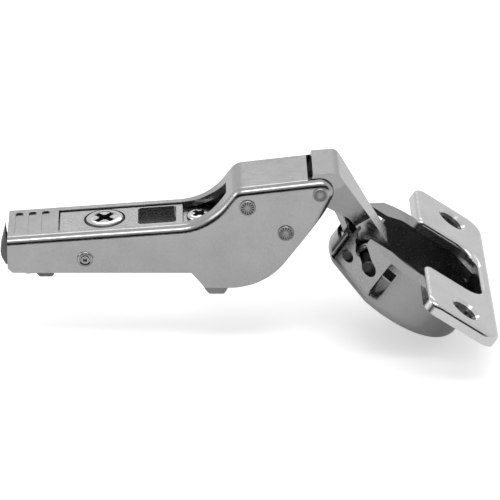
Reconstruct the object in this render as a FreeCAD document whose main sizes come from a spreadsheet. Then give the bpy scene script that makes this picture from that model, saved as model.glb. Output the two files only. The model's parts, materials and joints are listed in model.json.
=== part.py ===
import FreeCAD, Part
import math
import os
import Sketcher

# Cranked concealed cup hinge, shown fully open.
# Origin: on the carrier's flat underside, between the depth cam and the slot, where it sits on its plate.
# +X runs along the arm towards the cup, +Y across the arm, +Z out of the cabinet side.

doc = FreeCAD.newDocument("CrankedCupHinge")
sheet = doc.addObject("Spreadsheet::Sheet", "Sizes")
sizes = {
    # Arm, measured from the front pin
    "arm_width": 16.3,  # over the two side walls
    "arm_sheet": 1.4,  # sheet of the arm
    "arm_bend": 1.8,  # outer radius along the top edges
    "arm_rear": 69.1,  # front pin to rear end
    "rear_drop": 11.21,  # front pin down to the rear top edge
    "rear_slope": 4.48,  # slope of the rear top, degrees
    "crank_base": 24.72,  # front pin back to the foot of the crank
    "crank_slope": 54.0,  # slope of the crank, degrees
    "crank_foot_radius": 13.5,  # radius at the foot of the crank
    "crank_crown_radius": 3.5,  # radius at the crown of the crank
    "front_slope": 7.1,  # slope of the raised top, degrees
    "web_end": 2.7,  # front pin back to the end of the raised top
    "ear_radius": 3.1,  # radius of the ears round the front pin
    "ear_angle": 20.8,  # where the ear runs into the front edge, degrees
    "neck_reach": 1.66,  # neck under the ear, forward of the pin
    "neck_depth": 3.89,  # neck under the ear, below the pin
    "belly_depth": 23.02,  # front pin down to the belly
    "belly_front": 12.0,  # front pin back to the belly's front corner
    "belly_radius": 15.0,  # radius of the belly's front corner
    "belly_rear": 25.3,  # front pin back to the belly's rear corner
    "step_reach": 28.3,  # front pin back to the start of the step
    "step_middle": 26.45,  # front pin back to the middle of the step
    "step_depth": 21.5,  # front pin down to the middle of the step
    "edge_depth": 19.33,  # front pin down to the rear bottom edge
    "corner_cut": 1.1,  # cut of the rear bottom corner
    # Grip grooves and window in the arm's top
    "groove_start": 67.6,  # front pin back to the first groove
    "groove_pitch": 2.95,  # spacing of the grooves
    "groove_width": 1.75,  # width of a groove
    "groove_length": 10.6,  # length of a groove across the arm
    "groove_corner": 0.6,  # radius of a groove's corners
    "groove_depth": 0.35,  # depth of a groove
    "window_rear": 57.9,  # front pin back to the rear of the window
    "window_half": 5.2,  # half width of the window
    "window_waist": 30.0,  # front pin back to where the window narrows
    "window_neck": 24.0,  # front pin back to the neck of the window
    "window_neck_half": 4.2,  # half width at the neck
    "window_tip": 20.6,  # front pin back to the tip of the window
    "window_tip_half": 2.6,  # half width at the tip
    # Pins of the arm
    "front_pin_radius": 1.5,  # radius of the front pin
    "front_head_radius": 1.62,  # radius of the front pin's heads
    "rivet_radius": 1.5,  # radius of the spacer rivet
    "rivet_head": 1.8,  # radius of the rivet heads
    "rivet_back": 15.97,  # front pin back to the spacer rivet
    "rivet_down": 3.2,  # front pin down to the spacer rivet
    "axle_radius": 1.2,  # radius of the inner link's axle
    "axle_back": 7.43,  # front pin back to the axle
    "axle_down": 9.41,  # front pin down to the axle
    "head_rise": 0.45,  # how far heads stand out of the wall
    "head_bevel": 0.225,  # bevel round a head
    "catch_pin_radius": 1.4,  # radius of the catch's pin
    "catch_back": 51.87,  # front pin back to the catch's pin
    "catch_down": 15.86,  # front pin down to the catch's pin
    "rivet_bore": 0.9,  # radius of the hollow in the catch's pin
    "play": 0.05,  # radial play of a running fit
    # Carrier under the arm's top
    "seat_back": 42.2,  # front pin back to the seat's centre
    "carrier_sheet": 1.5,  # sheet of the carrier
    "carrier_gap": 0.05,  # gap between the carrier and the arm's top
    "side_gap": 0.2,  # gap between the carrier and a side wall
    "carrier_rear": 25.33,  # seat centre back to the carrier's rear end
    "carrier_front": 20.67,  # seat centre to the carrier's front end
    "seat_rear": 2.0,  # seat centre back to the seat's rear edge
    "seat_relief": 0.2,  # relief of the carrier behind the seat
    "carrier_depth": 6.5,  # depth of the carrier's flanges
    "carrier_corner": 2.0,  # cut of the flanges' rear corner
    "leg_rear": 16.07,  # seat centre to the rear of the front legs
    "leg_depth": 11.7,  # depth of the front legs
    "leg_slant": 4.0,  # how far the legs' rear edge slants
    "pad_sink": 0.3,  # pad below the arm's top
    "pad_gap": 0.3,  # gap round the pad in the window
    "pad_front": 12.37,  # seat centre to the pad's front end
    "pad_edge": 0.3,  # radius of the pad's top edge
    "slot_rear": 2.27,  # seat centre to the rear of the slot
    "slot_front": 10.77,  # seat centre to the front of the slot
    "slot_half": 4.1,  # half width of the slot
    "slot_corner": 0.8,  # radius of the slot's corners
    # Screws of the carrier
    "cam_screw_place": 5.23,  # seat centre back to the depth screw
    "cam_head_radius": 4.45,  # radius of the depth screw's head
    "cam_head_top": 3.1,  # top of the head above the seat
    "cam_edge_height": 0.4,  # height of the head's bevel
    "cam_edge_width": 0.5,  # width of the head's bevel
    "cam_recess_depth": 1.1,  # depth of the depth screw's recess
    "cam_shank_radius": 1.8,  # radius of the depth screw's shank
    "cam_radius": 2.6,  # radius of the cam
    "cam_throw": 0.4,  # eccentricity of the cam
    "cam_thickness": 0.9,  # thickness of the cam
    "recess_width": 1.15,  # width of a recess arm
    "recess_span": 5.6,  # span of the depth screw's recess
    "side_screw_place": 15.97,  # seat centre to the side screw
    "side_head_radius": 2.95,  # radius of the side screw's head
    "side_head_height": 0.9,  # height of the side screw's head
    "side_shank_radius": 1.9,  # radius of the side screw's shank
    "side_shank_length": 6.5,  # length of the side screw below the plate
    "side_edge_height": 0.3,  # height of the side screw head's bevel
    "side_edge_width": 0.4,  # width of the side screw head's bevel
    "side_tip": 0.5,  # bevel of the side screw's tip
    "side_recess_depth": 0.8,  # depth of the side screw's recess
    "side_recess_span": 3.9,  # span of the side screw's recess
    # Front hook, catch and button
    "hook_rear": 25.27,  # front pin back to the hook's rear
    "hook_front": 20.1,  # front pin back to the hook's front
    "hook_bottom": 24.44,  # front pin down to the hook's tip
    "hook_top": 20.6,  # front pin down to the hook's top
    "hook_slant": 0.8,  # slant of the hook's sides
    "catch_half": 4.8,  # half width of the catch
    "catch_ring": 2.2,  # radius of the catch round its pin
    "catch_bar": 1.0,  # half height of the catch's bar
    "catch_tail_back": 67.6,  # front pin back to the catch's tail
    "catch_tail_down": 17.75,  # front pin down to the catch's tail
    "nose_rear": 63.3,  # front pin back to the catch's nose, rear
    "nose_front": 58.9,  # front pin back to the catch's nose, front
    "nose_bottom": 21.92,  # front pin down to the nose's tip
    "nose_slant": 1.3,  # slant of the nose's rear side
    "nose_edge": 0.5,  # bevel of the nose's front corner
    "catch_slot_half": 2.2,  # half width of the slot for the spring
    "button_half": 2.2,  # half width of the release button
    "button_back": 70.9,  # front pin back to the button's outer face
    "button_top": 11.7,  # front pin down to the button's top
    "button_crest": 16.5,  # front pin down to the button's crest
    "button_bottom": 20.1,  # front pin down to the button's lower end
    "button_top_in": 1.1,  # button's top, in from its crest
    "button_side_in": 0.2,  # start of the lower corner, in from the crest
    "button_side_up": 2.0,  # start of the lower corner above the lower end
    "button_end_in": 1.2,  # lower end, in from the crest
    "button_back_in": 1.4,  # inner side under the top, in from the crest
    "button_back_down": 2.4,  # inner side, below the top
    "catch_wire": 0.6,  # wire of the catch's spring
    "catch_coil": 1.85,  # mean radius of the catch's spring
    "catch_pitch": 0.624,  # pitch of the catch's spring
    "catch_turns": 3.0,  # turns of the catch's spring
    "catch_start": 0.9,  # mid-plane back to the first turn
    # Cup, measured from the middle of the screw line on the plate's top
    "open_angle": 33.8,  # tilt of the open cup, degrees
    "cup_reach": 31.91,  # front pin to the cup's screw line
    "cup_drop": 20.88,  # front pin down to the cup's screw line
    "plate_front": 9.0,  # screw line to the plate's front edge
    "plate_rear": 10.0,  # screw line back to the lobes' ends
    "plate_end": 6.7,  # screw to the plate's end
    "plate_height": 2.7,  # height of the plate's rim
    "plate_sheet": 1.2,  # sheet of the plate
    "plate_corner": 4.5,  # radius of the front corners
    "lobe_corner": 3.0,  # radius of the lobes' corners
    "plate_edge": 1.0,  # radius of the plate's top edge
    "mouth_half": 11.0,  # half width of the plate's opening
    "mouth_front": 6.2,  # screw line to the opening's front
    "mouth_corner": 5.5,  # radius of the opening's corners
    "screw_half": 22.5,  # half of the screw spacing
    "screw_radius": 2.5,  # radius of a screw hole
    "screw_sink": 1.2,  # countersink of a screw hole
    "boss_gap": 0.9,  # pressed boss to the inside of the plate's end
    "press_corner": 3.0,  # cut of the pressing beside the opening
    # Pot
    "pot_radius": 17.5,  # radius of the pot, 35 mm bore
    "pot_centre": 9.5,  # screw line back to the pot's centre
    "pot_depth": 14.3,  # plate's top down to the pot's floor
    "pot_sheet": 1.1,  # sheet of the pot
    "pot_round": 2.5,  # radius round the floor
    "flat_place": 141.0,  # direction of a side flat, degrees
    "flat_spread": 22.5,  # half angle of a side flat, degrees
    "lip_half": 9.1,  # half width of the mouth at the rear
    "lip_front_half": 11.6,  # half width of the mouth in front
    "lip_turn_rear": 17.2,  # screw line back to the start of the bend
    "lip_turn_front": 12.9,  # screw line back to the end of the bend
    "lip_rear": 25.4,  # screw line back to the mouth's rear
    "lip_corner": 1.0,  # cut of the mouth's rear corners
    "gate_reach": 3.5,  # how far the gate cuts in from the pot's rear
    "gate_half": 5.6,  # half width of the gate in the rear wall
    "gate_depth": 5.2,  # plate's top down to the gate's sill
    "slit_half": 3.1,  # half width of the slit for the inner link
    "slit_depth": 9.0,  # plate's top down to the slit's sill
    "slit_relief": 0.5,  # relief inside the wall under the slit
    "relief_depth": 12.3,  # plate's top down to the relief's end
    "groove_low": 12.8,  # plate's top down to the wall slot's end
    "groove_high": 6.3,  # plate's top down to the wall slot's start
    "groove_near": 4.2,  # wall slot, inner side
    "groove_far": 5.6,  # wall slot, outer side
    "louvre_turn": 23.9,  # turn of the louvre round the pot, from square across, degrees
    "louvre_width": 2.6,  # width of the louvre
    "louvre_high": 4.1,  # plate's top down to the louvre's mouth
    "louvre_low": 7.0,  # plate's top down to the top of the louvre's ramp
    "louvre_foot": 11.4,  # plate's top down to the foot of the ramp
    "louvre_press": 1.5,  # how far the ramp is pressed in
    "ramp_sheet": 0.88,  # thickness of the ramp at its top
    "key_rear": 23.9,  # screw line back to the keyhole's top
    "key_high": 5.1,  # plate's top down to the keyhole's top
    "key_front": 23.0,  # screw line back to the keyhole's end
    "key_low": 6.8,  # plate's top down to the keyhole's end
    "key_radius": 0.9,  # half width of the keyhole
    # Pivots in the cup
    "outer_pivot_inset": 10.1042,  # where the pot's flats would meet to the outer link's pins
    "outer_pivot_down": 7.6,  # plate's top down to the outer link's pins
    "inner_pivot_inset": 6.1042,  # where the pot's flats would meet to the inner link's pin
    "inner_pivot_down": 9.6,  # plate's top down to the inner link's pin
    "stub_radius": 1.5,  # radius of the stub pins
    "stub_inner": 2.75,  # mid-plane to the stub pins' inner ends
    "stub_outer": 12.2,  # mid-plane to the stub pins' outer ends
    "cross_pin_radius": 1.15,  # radius of the inner link's pin
    "cross_pin_half": 7.5,  # half length of the inner link's pin
    "spring_wire": 1.1,  # wire of the cup's springs
    "spring_coil": 2.25,  # mean radius of the cup's springs
    "spring_start": 4.95,  # mid-plane to the first coil
    "spring_pitch": 1.144,  # pitch of a cup spring
    "spring_turns": 1.6,  # turns of a cup spring
    # Outer link, in line with its web
    "link_angle": 58.0,  # slope of the open link's web, degrees
    "web_offset": 5.72,  # front pin out to the web's face
    "link_sheet": 1.4,  # sheet of the link's web
    "flange_sheet": 1.2,  # sheet of the link's flanges
    "link_half": 6.4,  # half width at the arm
    "link_tip_half": 4.1,  # half width in the cup
    "taper_start": 1.5,  # front pin to the start of the taper
    "taper_end": 12.5,  # front pin to the end of the taper
    "web_tip": 20.1,  # front pin to the end of the web
    "cap_back": 4.3,  # front pin back to the cap's edge
    "cap_low": 0.8,  # height of the cap's edge
    "cap_corner": 1.8,  # front pin back to the cap's corner
    "cap_radius": 1.8,  # radius of the cap's corner
    "link_ear": 2.8,  # radius of the link round the front pin
    "link_tip_ear": 2.5,  # radius of the link round the stub pins
    "ear_foot_across": 0.42,  # foot of the ear from the pin, as a share of its radius
    "ear_foot_down": 0.9,  # foot of the ear below the pin, likewise
    "ear_back_across": 0.95,  # back of the ear behind the pin, likewise
    "ear_back_down": 0.3,  # back of the ear below the pin, likewise
    "tip_across": 0.8,  # outer corner of the tip's ear past the pin, likewise
    "tip_up": 0.6,  # outer corner of the tip's ear above the pin, likewise
    "cap_wall": 0.72,  # cap's wall at its corner
    "cap_rear_wall": 1.08,  # cap's wall at its edge
    "cap_step": 0.5,  # step under the cap's edge
    "edge_one": 4.8,  # front pin to the lower edge's start
    "edge_one_low": 0.7,  # lower edge's start below the pin
    "edge_two": 9.9,  # front pin to the lower edge's knee
    "edge_two_high": 1.65,  # lower edge's knee above the pin
    "edge_three": 14.0,  # front pin to the lower edge's end
    "edge_three_high": 1.8,  # lower edge's end above the pin
    # Inner link
    "strap_half": 2.5,  # half width of the inner link
    "strap_radius": 0.6,  # half thickness of the strap
    "knuckle": 1.9,  # radius of the knuckle round the cross pin
    "elbow_reach": 6.5,  # elbow forward of the front pin
    "elbow_down": 12.4,  # elbow below the front pin
    "knee_reach": 5.4,  # knee forward of the front pin
    "knee_down": 9.4,  # knee below the front pin
    "hip_reach": 3.6,  # hip forward of the front pin
    "hip_down": 5.5,  # hip below the front pin
    "shoulder_reach": 1.2,  # shoulder forward of the front pin
    "shoulder_down": 4.1,  # shoulder below the front pin
    "slot_mid_back": 6.27,  # middle of the slot behind the front pin
    "slot_mid_down": 7.0,  # middle of the slot below the front pin
    "slot_high_back": 6.03,  # upper part of the slot behind the pin
    "slot_high_down": 5.2,  # upper part of the slot below the pin
    "slot_turn_back": 6.75,  # turn of the slot behind the front pin
    "slot_turn_down": 3.8,  # turn of the slot below the front pin
    "slot_end_back": 7.38,  # end of the slot behind the front pin
    "slot_end_down": 4.7,  # end of the slot below the front pin
    "slot_play": 0.3,  # play of the axle in the slot
    "slot_wall": 0.9,  # wall round the slot
}
for row, (alias, number) in enumerate(sizes.items(), 1):
    sheet.set("A%d" % row, alias.replace("_", " "))
    sheet.set("B%d" % row, str(number))
    sheet.setAlias("B%d" % row, alias)
doc.recompute()

# Formulas shared by several pieces
OVER = "3"  # how far a cutting outline runs past the piece
NEAR = 0.001  # two lengths that count as equal
CLOSE = 0.05  # two places that count as one
HALF = "Sizes.arm_width / 2"
FOOT_Z = "(-Sizes.rear_drop + (Sizes.arm_rear - Sizes.crank_base) * tan(Sizes.rear_slope))"
CROWN_TOP = "(Sizes.ear_radius / cos(Sizes.front_slope) - " + FOOT_Z
CROWN_TOP = CROWN_TOP + " - Sizes.crank_base * tan(Sizes.crank_slope))"
CROWN_X = "(" + CROWN_TOP + " / (tan(Sizes.crank_slope) - tan(Sizes.front_slope)))"
CROWN_Z = "(Sizes.ear_radius / cos(Sizes.front_slope) + " + CROWN_X + " * tan(Sizes.front_slope))"
EAR_X = "-Sizes.ear_radius * sin(Sizes.front_slope)"
EAR_Z = "Sizes.ear_radius * cos(Sizes.front_slope)"
STACK = "(Sizes.carrier_sheet + Sizes.carrier_gap + Sizes.arm_sheet)"
PIN_X = "Sizes.seat_back"
PIN_Z = "(Sizes.rear_drop - (Sizes.arm_rear - Sizes.seat_back) * tan(Sizes.rear_slope)"
PIN_Z = PIN_Z + " + " + STACK + " / cos(Sizes.rear_slope))"
CUP_X = "(" + PIN_X + " + Sizes.cup_reach)"
CUP_Z = "(" + PIN_Z + " - Sizes.cup_drop)"
PLATE_HALF = "(Sizes.screw_half + Sizes.plate_end)"
BOSS_RADIUS = "(Sizes.plate_end - Sizes.plate_sheet - Sizes.boss_gap)"
FLATS_MEET = "(Sizes.pot_centre - Sizes.pot_radius * cos(Sizes.flat_spread) / cos(Sizes.flat_place))"
OUTER_BACK = "(" + FLATS_MEET + " - Sizes.outer_pivot_inset)"
INNER_BACK = "(" + FLATS_MEET + " - Sizes.inner_pivot_inset)"
CARRIER_HALF = "(Sizes.arm_width / 2 - Sizes.arm_sheet - Sizes.side_gap)"


def cup_point(back, down):
    # Place in the front pin's frame of a point given in the cup's frame
    x = "(Sizes.cup_reach - " + back + " * cos(Sizes.open_angle) - " + down + " * sin(Sizes.open_angle))"
    z = "(-Sizes.cup_drop + " + back + " * sin(Sizes.open_angle) - " + down + " * cos(Sizes.open_angle))"
    return x, z


OUTER_X, OUTER_Z = cup_point(OUTER_BACK, "Sizes.outer_pivot_down")
INNER_X, INNER_Z = cup_point(INNER_BACK, "Sizes.inner_pivot_down")
LINK_X = "(" + OUTER_X + " * cos(Sizes.link_angle) - " + OUTER_Z + " * sin(Sizes.link_angle))"
LINK_Z = "(" + OUTER_X + " * sin(Sizes.link_angle) + " + OUTER_Z + " * cos(Sizes.link_angle))"


def value(text):
    return float(sheet.evalExpression(text))


def start(label, frame):
    body = doc.addObject("PartDesign::Body", label)
    body.Label = label
    place(body, frame)
    return body


def place(thing, frame):
    # Frames: arm at the front pin, seat under the carrier, cup at the screw line, link along its web
    turn = {
        "arm": "0",
        "seat": "-Sizes.rear_slope",
        "cup": "Sizes.open_angle",
        "link": "Sizes.link_angle",
    }
    across = {"arm": PIN_X, "seat": "0", "cup": CUP_X, "link": PIN_X}
    up = {"arm": PIN_Z, "seat": "0", "cup": CUP_Z, "link": PIN_Z}
    spin = FreeCAD.Rotation(FreeCAD.Vector(0, 1, 0), 1)
    thing.Placement = FreeCAD.Placement(FreeCAD.Vector(0, 0, 0), spin)
    thing.setExpression("Placement.Rotation.Angle", turn[frame])
    thing.setExpression("Placement.Base.x", across[frame])
    thing.setExpression("Placement.Base.z", up[frame])


def sketch(body, label, role, height="0"):
    art = body.newObject("Sketcher::SketchObject", body.Name + "_" + label)
    base = [one for one in body.Origin.OriginFeatures if one.Role == role][0]
    art.AttachmentSupport = [(base, "")]
    art.MapMode = "FlatFace"
    if height != "0":
        art.setExpression("AttachmentOffset.Base.z", height)
    return art


def bind(art, kind, geometry, point, text):
    number = art.addConstraint(Sketcher.Constraint(kind, -1, 1, geometry, point, value(text)))
    art.setExpression("Constraints[%d]" % number, text)


def outline(art, corners):
    # Closed outline through corners, each tied to the sheet
    spots = [FreeCAD.Vector(value(x), value(y), 0) for x, y in corners]
    count = len(spots)
    lines = []
    for index in range(count):
        edge = Part.LineSegment(spots[index], spots[(index + 1) % count])
        lines.append(art.addGeometry(edge))
    for index in range(count):
        follower = lines[(index + 1) % count]
        art.addConstraint(Sketcher.Constraint("Coincident", lines[index], 2, follower, 1))
    for index in range(count):
        bind(art, "DistanceX", lines[index], 1, corners[index][0])
        bind(art, "DistanceY", lines[index], 1, corners[index][1])


def disc(art, x, y, radius):
    spot = FreeCAD.Vector(value(x), value(y), 0)
    circle = Part.Circle(spot, FreeCAD.Vector(0, 0, 1), value(radius))
    number = art.addGeometry(circle)
    bind(art, "DistanceX", number, 3, x)
    bind(art, "DistanceY", number, 3, y)
    mark = art.addConstraint(Sketcher.Constraint("Radius", number, value(radius)))
    art.setExpression("Constraints[%d]" % mark, radius)


def bar(art, first, last, radius):
    # Bar with round ends between two points
    one = FreeCAD.Vector(value(first[0]), value(first[1]), 0)
    two = FreeCAD.Vector(value(last[0]), value(last[1]), 0)
    half = value(radius)
    lean = math.atan2(two.y - one.y, two.x - one.x)
    quarter = math.pi / 2
    side = FreeCAD.Vector(-math.sin(lean) * half, math.cos(lean) * half, 0)
    up = FreeCAD.Vector(0, 0, 1)
    head = Part.ArcOfCircle(Part.Circle(one, up, half), lean + quarter, lean + 3 * quarter)
    tail = Part.ArcOfCircle(Part.Circle(two, up, half), lean - quarter, lean + quarter)
    a = art.addGeometry(head)
    b = art.addGeometry(Part.LineSegment(one - side, two - side))
    c = art.addGeometry(tail)
    d = art.addGeometry(Part.LineSegment(two + side, one + side))
    for left, right in ((a, b), (b, c), (c, d), (d, a)):
        art.addConstraint(Sketcher.Constraint("Tangent", left, 2, right, 1))
    art.addConstraint(Sketcher.Constraint("Equal", a, c))
    bind(art, "DistanceX", a, 3, first[0])
    bind(art, "DistanceY", a, 3, first[1])
    bind(art, "DistanceX", c, 3, last[0])
    bind(art, "DistanceY", c, 3, last[1])
    mark = art.addConstraint(Sketcher.Constraint("Radius", a, half))
    art.setExpression("Constraints[%d]" % mark, radius)


def feature(body, kind, art, length, both=True, turned=False):
    step = body.newObject("PartDesign::" + kind, art.Name + "_" + kind)
    step.Profile = art
    if both:
        step.SideType = "Symmetric"
    step.Reversed = turned
    step.setExpression("Length", length)
    doc.recompute()
    return step


def pad(body, art, length, both=True, turned=False):
    return feature(body, "Pad", art, length, both, turned)


def pocket(body, art, length, both=True, turned=False):
    before = body.Shape.Volume
    step = feature(body, "Pocket", art, length, both, turned)
    if step.Shape.Volume > before - 0.001:
        raise RuntimeError(step.Name + " cuts nothing")
    return step


def turned(body, art):
    step = body.newObject("PartDesign::Revolution", art.Name + "_Revolution")
    step.Profile = art
    step.ReferenceAxis = (art, ["V_Axis"])
    step.Angle = 360
    doc.recompute()
    return step


def edge_names(body, test):
    # Edges of the body's last feature that pass the test
    names = []
    for index, edge in enumerate(body.Tip.Shape.Edges):
        middle = edge.valueAt((edge.FirstParameter + edge.LastParameter) / 2)
        run = edge.Vertexes[-1].Point - edge.Vertexes[0].Point
        if test(middle, run, edge):
            names.append("Edge%d" % (index + 1))
    if not names:
        raise RuntimeError(body.Name + " has no edge that passes " + test.__name__)
    return names


def soften(body, label, radius, test):
    # Round the edges of the body's last feature that pass the test
    tip = body.Tip
    names = edge_names(body, test)
    step = body.newObject("PartDesign::Fillet", body.Name + "_" + label)
    step.Base = (tip, names)
    step.setExpression("Radius", radius)
    doc.recompute()
    return step


def across_at(x, z):
    # Test for an edge that runs across the arm at a place in the side view
    def test(middle, run, edge):
        level = abs(run.x) + abs(run.z) < NEAR < abs(run.y)
        return level and math.hypot(middle.x - value(x), middle.z - value(z)) < CLOSE
    return test


def level_at(z):
    # Test for an edge whose middle lies at a height
    def test(middle, run, edge):
        return abs(middle.z - value(z)) < NEAR
    return test


# Arm: one pressed channel with a crank, ears and a belly
arm = start("arm_shell", "arm")
side = sketch(arm, "side", "XZ_Plane")
outline(side, [
    ("-Sizes.arm_rear", "-Sizes.rear_drop"),
    ("-Sizes.crank_base", FOOT_Z),
    (CROWN_X, CROWN_Z),
    (EAR_X, EAR_Z),
    ("Sizes.ear_radius * cos(Sizes.ear_angle)", "-Sizes.ear_radius * sin(Sizes.ear_angle)"),
    ("Sizes.neck_reach", "-Sizes.neck_depth"),
    ("-Sizes.belly_front", "-Sizes.belly_depth"),
    ("-Sizes.belly_rear", "-Sizes.belly_depth"),
    ("-Sizes.step_middle", "-Sizes.step_depth"),
    ("-Sizes.step_reach", "-Sizes.edge_depth"),
    ("-Sizes.arm_rear + Sizes.corner_cut", "-Sizes.edge_depth"),
    ("-Sizes.arm_rear", "-Sizes.edge_depth + Sizes.corner_cut"),
])
pad(arm, side, "Sizes.arm_width")
ear = sketch(arm, "ear", "XZ_Plane")
disc(ear, "0", "0", "Sizes.ear_radius")
pad(arm, ear, "Sizes.arm_width")
soften(arm, "foot", "Sizes.crank_foot_radius", across_at("-Sizes.crank_base", FOOT_Z))
soften(arm, "crown", "Sizes.crank_crown_radius", across_at(CROWN_X, CROWN_Z))
soften(arm, "belly", "Sizes.belly_radius", across_at("-Sizes.belly_front", "-Sizes.belly_depth"))


def top_line(x):
    # Height of the top's straight runs at a place along the arm
    foot = -value("Sizes.crank_base")
    crown = value(CROWN_X)
    if x < foot:
        return value(FOOT_Z) + (x - foot) * math.tan(math.radians(value("Sizes.rear_slope")))
    if x < crown:
        return value(FOOT_Z) + (x - foot) * math.tan(math.radians(value("Sizes.crank_slope")))
    return value(CROWN_Z) + (x - crown) * math.tan(math.radians(value("Sizes.front_slope")))


def top_edge(middle, run, edge):
    # The chain of edges along both sides of the top
    wall = abs(abs(middle.y) - value(HALF)) < NEAR and abs(run.y) < NEAR
    high = middle.z > top_line(middle.x) - value("Sizes.arm_sheet") / 2
    return wall and high and middle.x < value(EAR_X) and abs(run.x) > CLOSE


soften(arm, "bends", "Sizes.arm_bend", top_edge)


def inset(x, z, first, last):
    # Corner of the top line moved in by the arm's sheet
    lean = "((Sizes." + first + " + Sizes." + last + ") / 2)"
    open_up = "cos((Sizes." + first + " - Sizes." + last + ") / 2)"
    new_x = "(" + x + " + Sizes.arm_sheet * sin" + lean + " / " + open_up + ")"
    new_z = "(" + z + " - Sizes.arm_sheet * cos" + lean + " / " + open_up + ")"
    return new_x, new_z


FOOT_IN = inset("-Sizes.crank_base", FOOT_Z, "rear_slope", "crank_slope")
CROWN_IN = inset(CROWN_X, CROWN_Z, "crank_slope", "front_slope")
REAR_IN = "(-Sizes.rear_drop - " + OVER + " * tan(Sizes.rear_slope)"
REAR_IN = REAR_IN + " - Sizes.arm_sheet / cos(Sizes.rear_slope))"
EAR_IN = "((Sizes.ear_radius - Sizes.arm_sheet) / cos(Sizes.front_slope)"
EAR_IN = EAR_IN + " + (Sizes.ear_radius + " + OVER + ") * tan(Sizes.front_slope))"
hollow = sketch(arm, "hollow", "XZ_Plane")
outline(hollow, [
    ("-Sizes.arm_rear - " + OVER, REAR_IN),
    FOOT_IN,
    CROWN_IN,
    ("Sizes.ear_radius + " + OVER, EAR_IN),
    ("Sizes.ear_radius + " + OVER, "-Sizes.belly_depth - " + OVER),
    ("-Sizes.arm_rear - " + OVER, "-Sizes.belly_depth - " + OVER),
])
pocket(arm, hollow, "Sizes.arm_width - 2 * Sizes.arm_sheet")
soften(arm, "foot_inside", "Sizes.crank_foot_radius + Sizes.arm_sheet", across_at(*FOOT_IN))
soften(arm, "crown_inside", "Sizes.crank_crown_radius - Sizes.arm_sheet", across_at(*CROWN_IN))
gap = sketch(arm, "gap", "XZ_Plane")
outline(gap, [
    ("-Sizes.web_end", "-Sizes.ear_radius"),
    ("Sizes.ear_radius + " + OVER, "-Sizes.ear_radius"),
    ("Sizes.ear_radius + " + OVER, "Sizes.ear_radius + " + OVER),
    ("-Sizes.web_end", "Sizes.ear_radius + " + OVER),
])
pocket(arm, gap, "Sizes.arm_width - 2 * Sizes.arm_sheet")
window = sketch(arm, "window", "XY_Plane")
outline(window, [
    ("-Sizes.window_rear", "-Sizes.window_half"),
    ("-Sizes.window_waist", "-Sizes.window_half"),
    ("-Sizes.window_neck", "-Sizes.window_neck_half"),
    ("-Sizes.window_tip", "-Sizes.window_tip_half"),
    ("-Sizes.window_tip", "Sizes.window_tip_half"),
    ("-Sizes.window_neck", "Sizes.window_neck_half"),
    ("-Sizes.window_waist", "Sizes.window_half"),
    ("-Sizes.window_rear", "Sizes.window_half"),
])
pocket(arm, window, "4 * Sizes.belly_depth")
grips = sketch(arm, "grips", "XZ_Plane")
for number in range(3):
    rear = "(-Sizes.groove_start + %d * Sizes.groove_pitch)" % number
    front = "(" + rear + " + Sizes.groove_width)"
    low = "(-Sizes.rear_drop - Sizes.groove_depth + (Sizes.arm_rear + %s) * tan(Sizes.rear_slope))"
    high = "(-Sizes.rear_drop + Sizes.arm_sheet + (Sizes.arm_rear + %s) * tan(Sizes.rear_slope))"
    outline(grips, [
        (rear, low % rear),
        (front, low % front),
        (front, high % front),
        (rear, high % rear),
    ])
pocket(arm, grips, "Sizes.groove_length")


def grip_corner(middle, run, edge):
    # Short upright edges at both ends of a grip groove
    end = abs(abs(middle.y) - value("Sizes.groove_length / 2")) < NEAR
    behind = middle.x < -value("Sizes.window_rear")
    return end and behind and abs(run.x) < CLOSE < abs(run.z)


soften(arm, "grip_corners", "Sizes.groove_corner", grip_corner)
bores = sketch(arm, "bores", "XZ_Plane")
disc(bores, "0", "0", "Sizes.front_pin_radius")
disc(bores, "-Sizes.rivet_back", "-Sizes.rivet_down", "Sizes.rivet_radius")
disc(bores, "-Sizes.axle_back", "-Sizes.axle_down", "Sizes.axle_radius")
disc(bores, "-Sizes.catch_back", "-Sizes.catch_down", "Sizes.catch_pin_radius")
pocket(arm, bores, "2 * Sizes.arm_width")


def crossbar(label, x, z, radius, head, hole=None):
    # Pin across the arm with a low head on each side
    body = doc.addObject("PartDesign::Body", label)
    body.Label = label
    body.setExpression("Placement.Base.x", PIN_X + " + " + x)
    body.setExpression("Placement.Base.z", PIN_Z + " + " + z)
    art = sketch(body, "half", "XY_Plane")
    end = "(" + HALF + " + Sizes.head_rise)"
    rim = "(" + HALF + " + Sizes.head_rise - Sizes.head_bevel)"
    outline(art, [
        ("0", "-" + end),
        (head + " - Sizes.head_bevel", "-" + end),
        (head, "-" + rim),
        (head, "-" + HALF),
        (radius, "-" + HALF),
        (radius, HALF),
        (head, HALF),
        (head, rim),
        (head + " - Sizes.head_bevel", end),
        ("0", end),
    ])
    turned(body, art)
    if hole:
        well = sketch(body, "well", "XZ_Plane")
        disc(well, "0", "0", hole)
        pocket(body, well, "2 * Sizes.arm_width")
    return body


crossbar("front_pin", "0", "0", "Sizes.front_pin_radius", "Sizes.front_head_radius")
crossbar("spacer_rivet", "-Sizes.rivet_back", "-Sizes.rivet_down", "Sizes.rivet_radius", "Sizes.rivet_head")
crossbar("link_axle", "-Sizes.axle_back", "-Sizes.axle_down", "Sizes.axle_radius", "Sizes.rivet_head")
CATCH_AT = ("-Sizes.catch_back", "-Sizes.catch_down")
crossbar("catch_pin", *CATCH_AT, "Sizes.catch_pin_radius", "Sizes.rivet_head", "Sizes.rivet_bore")

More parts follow.
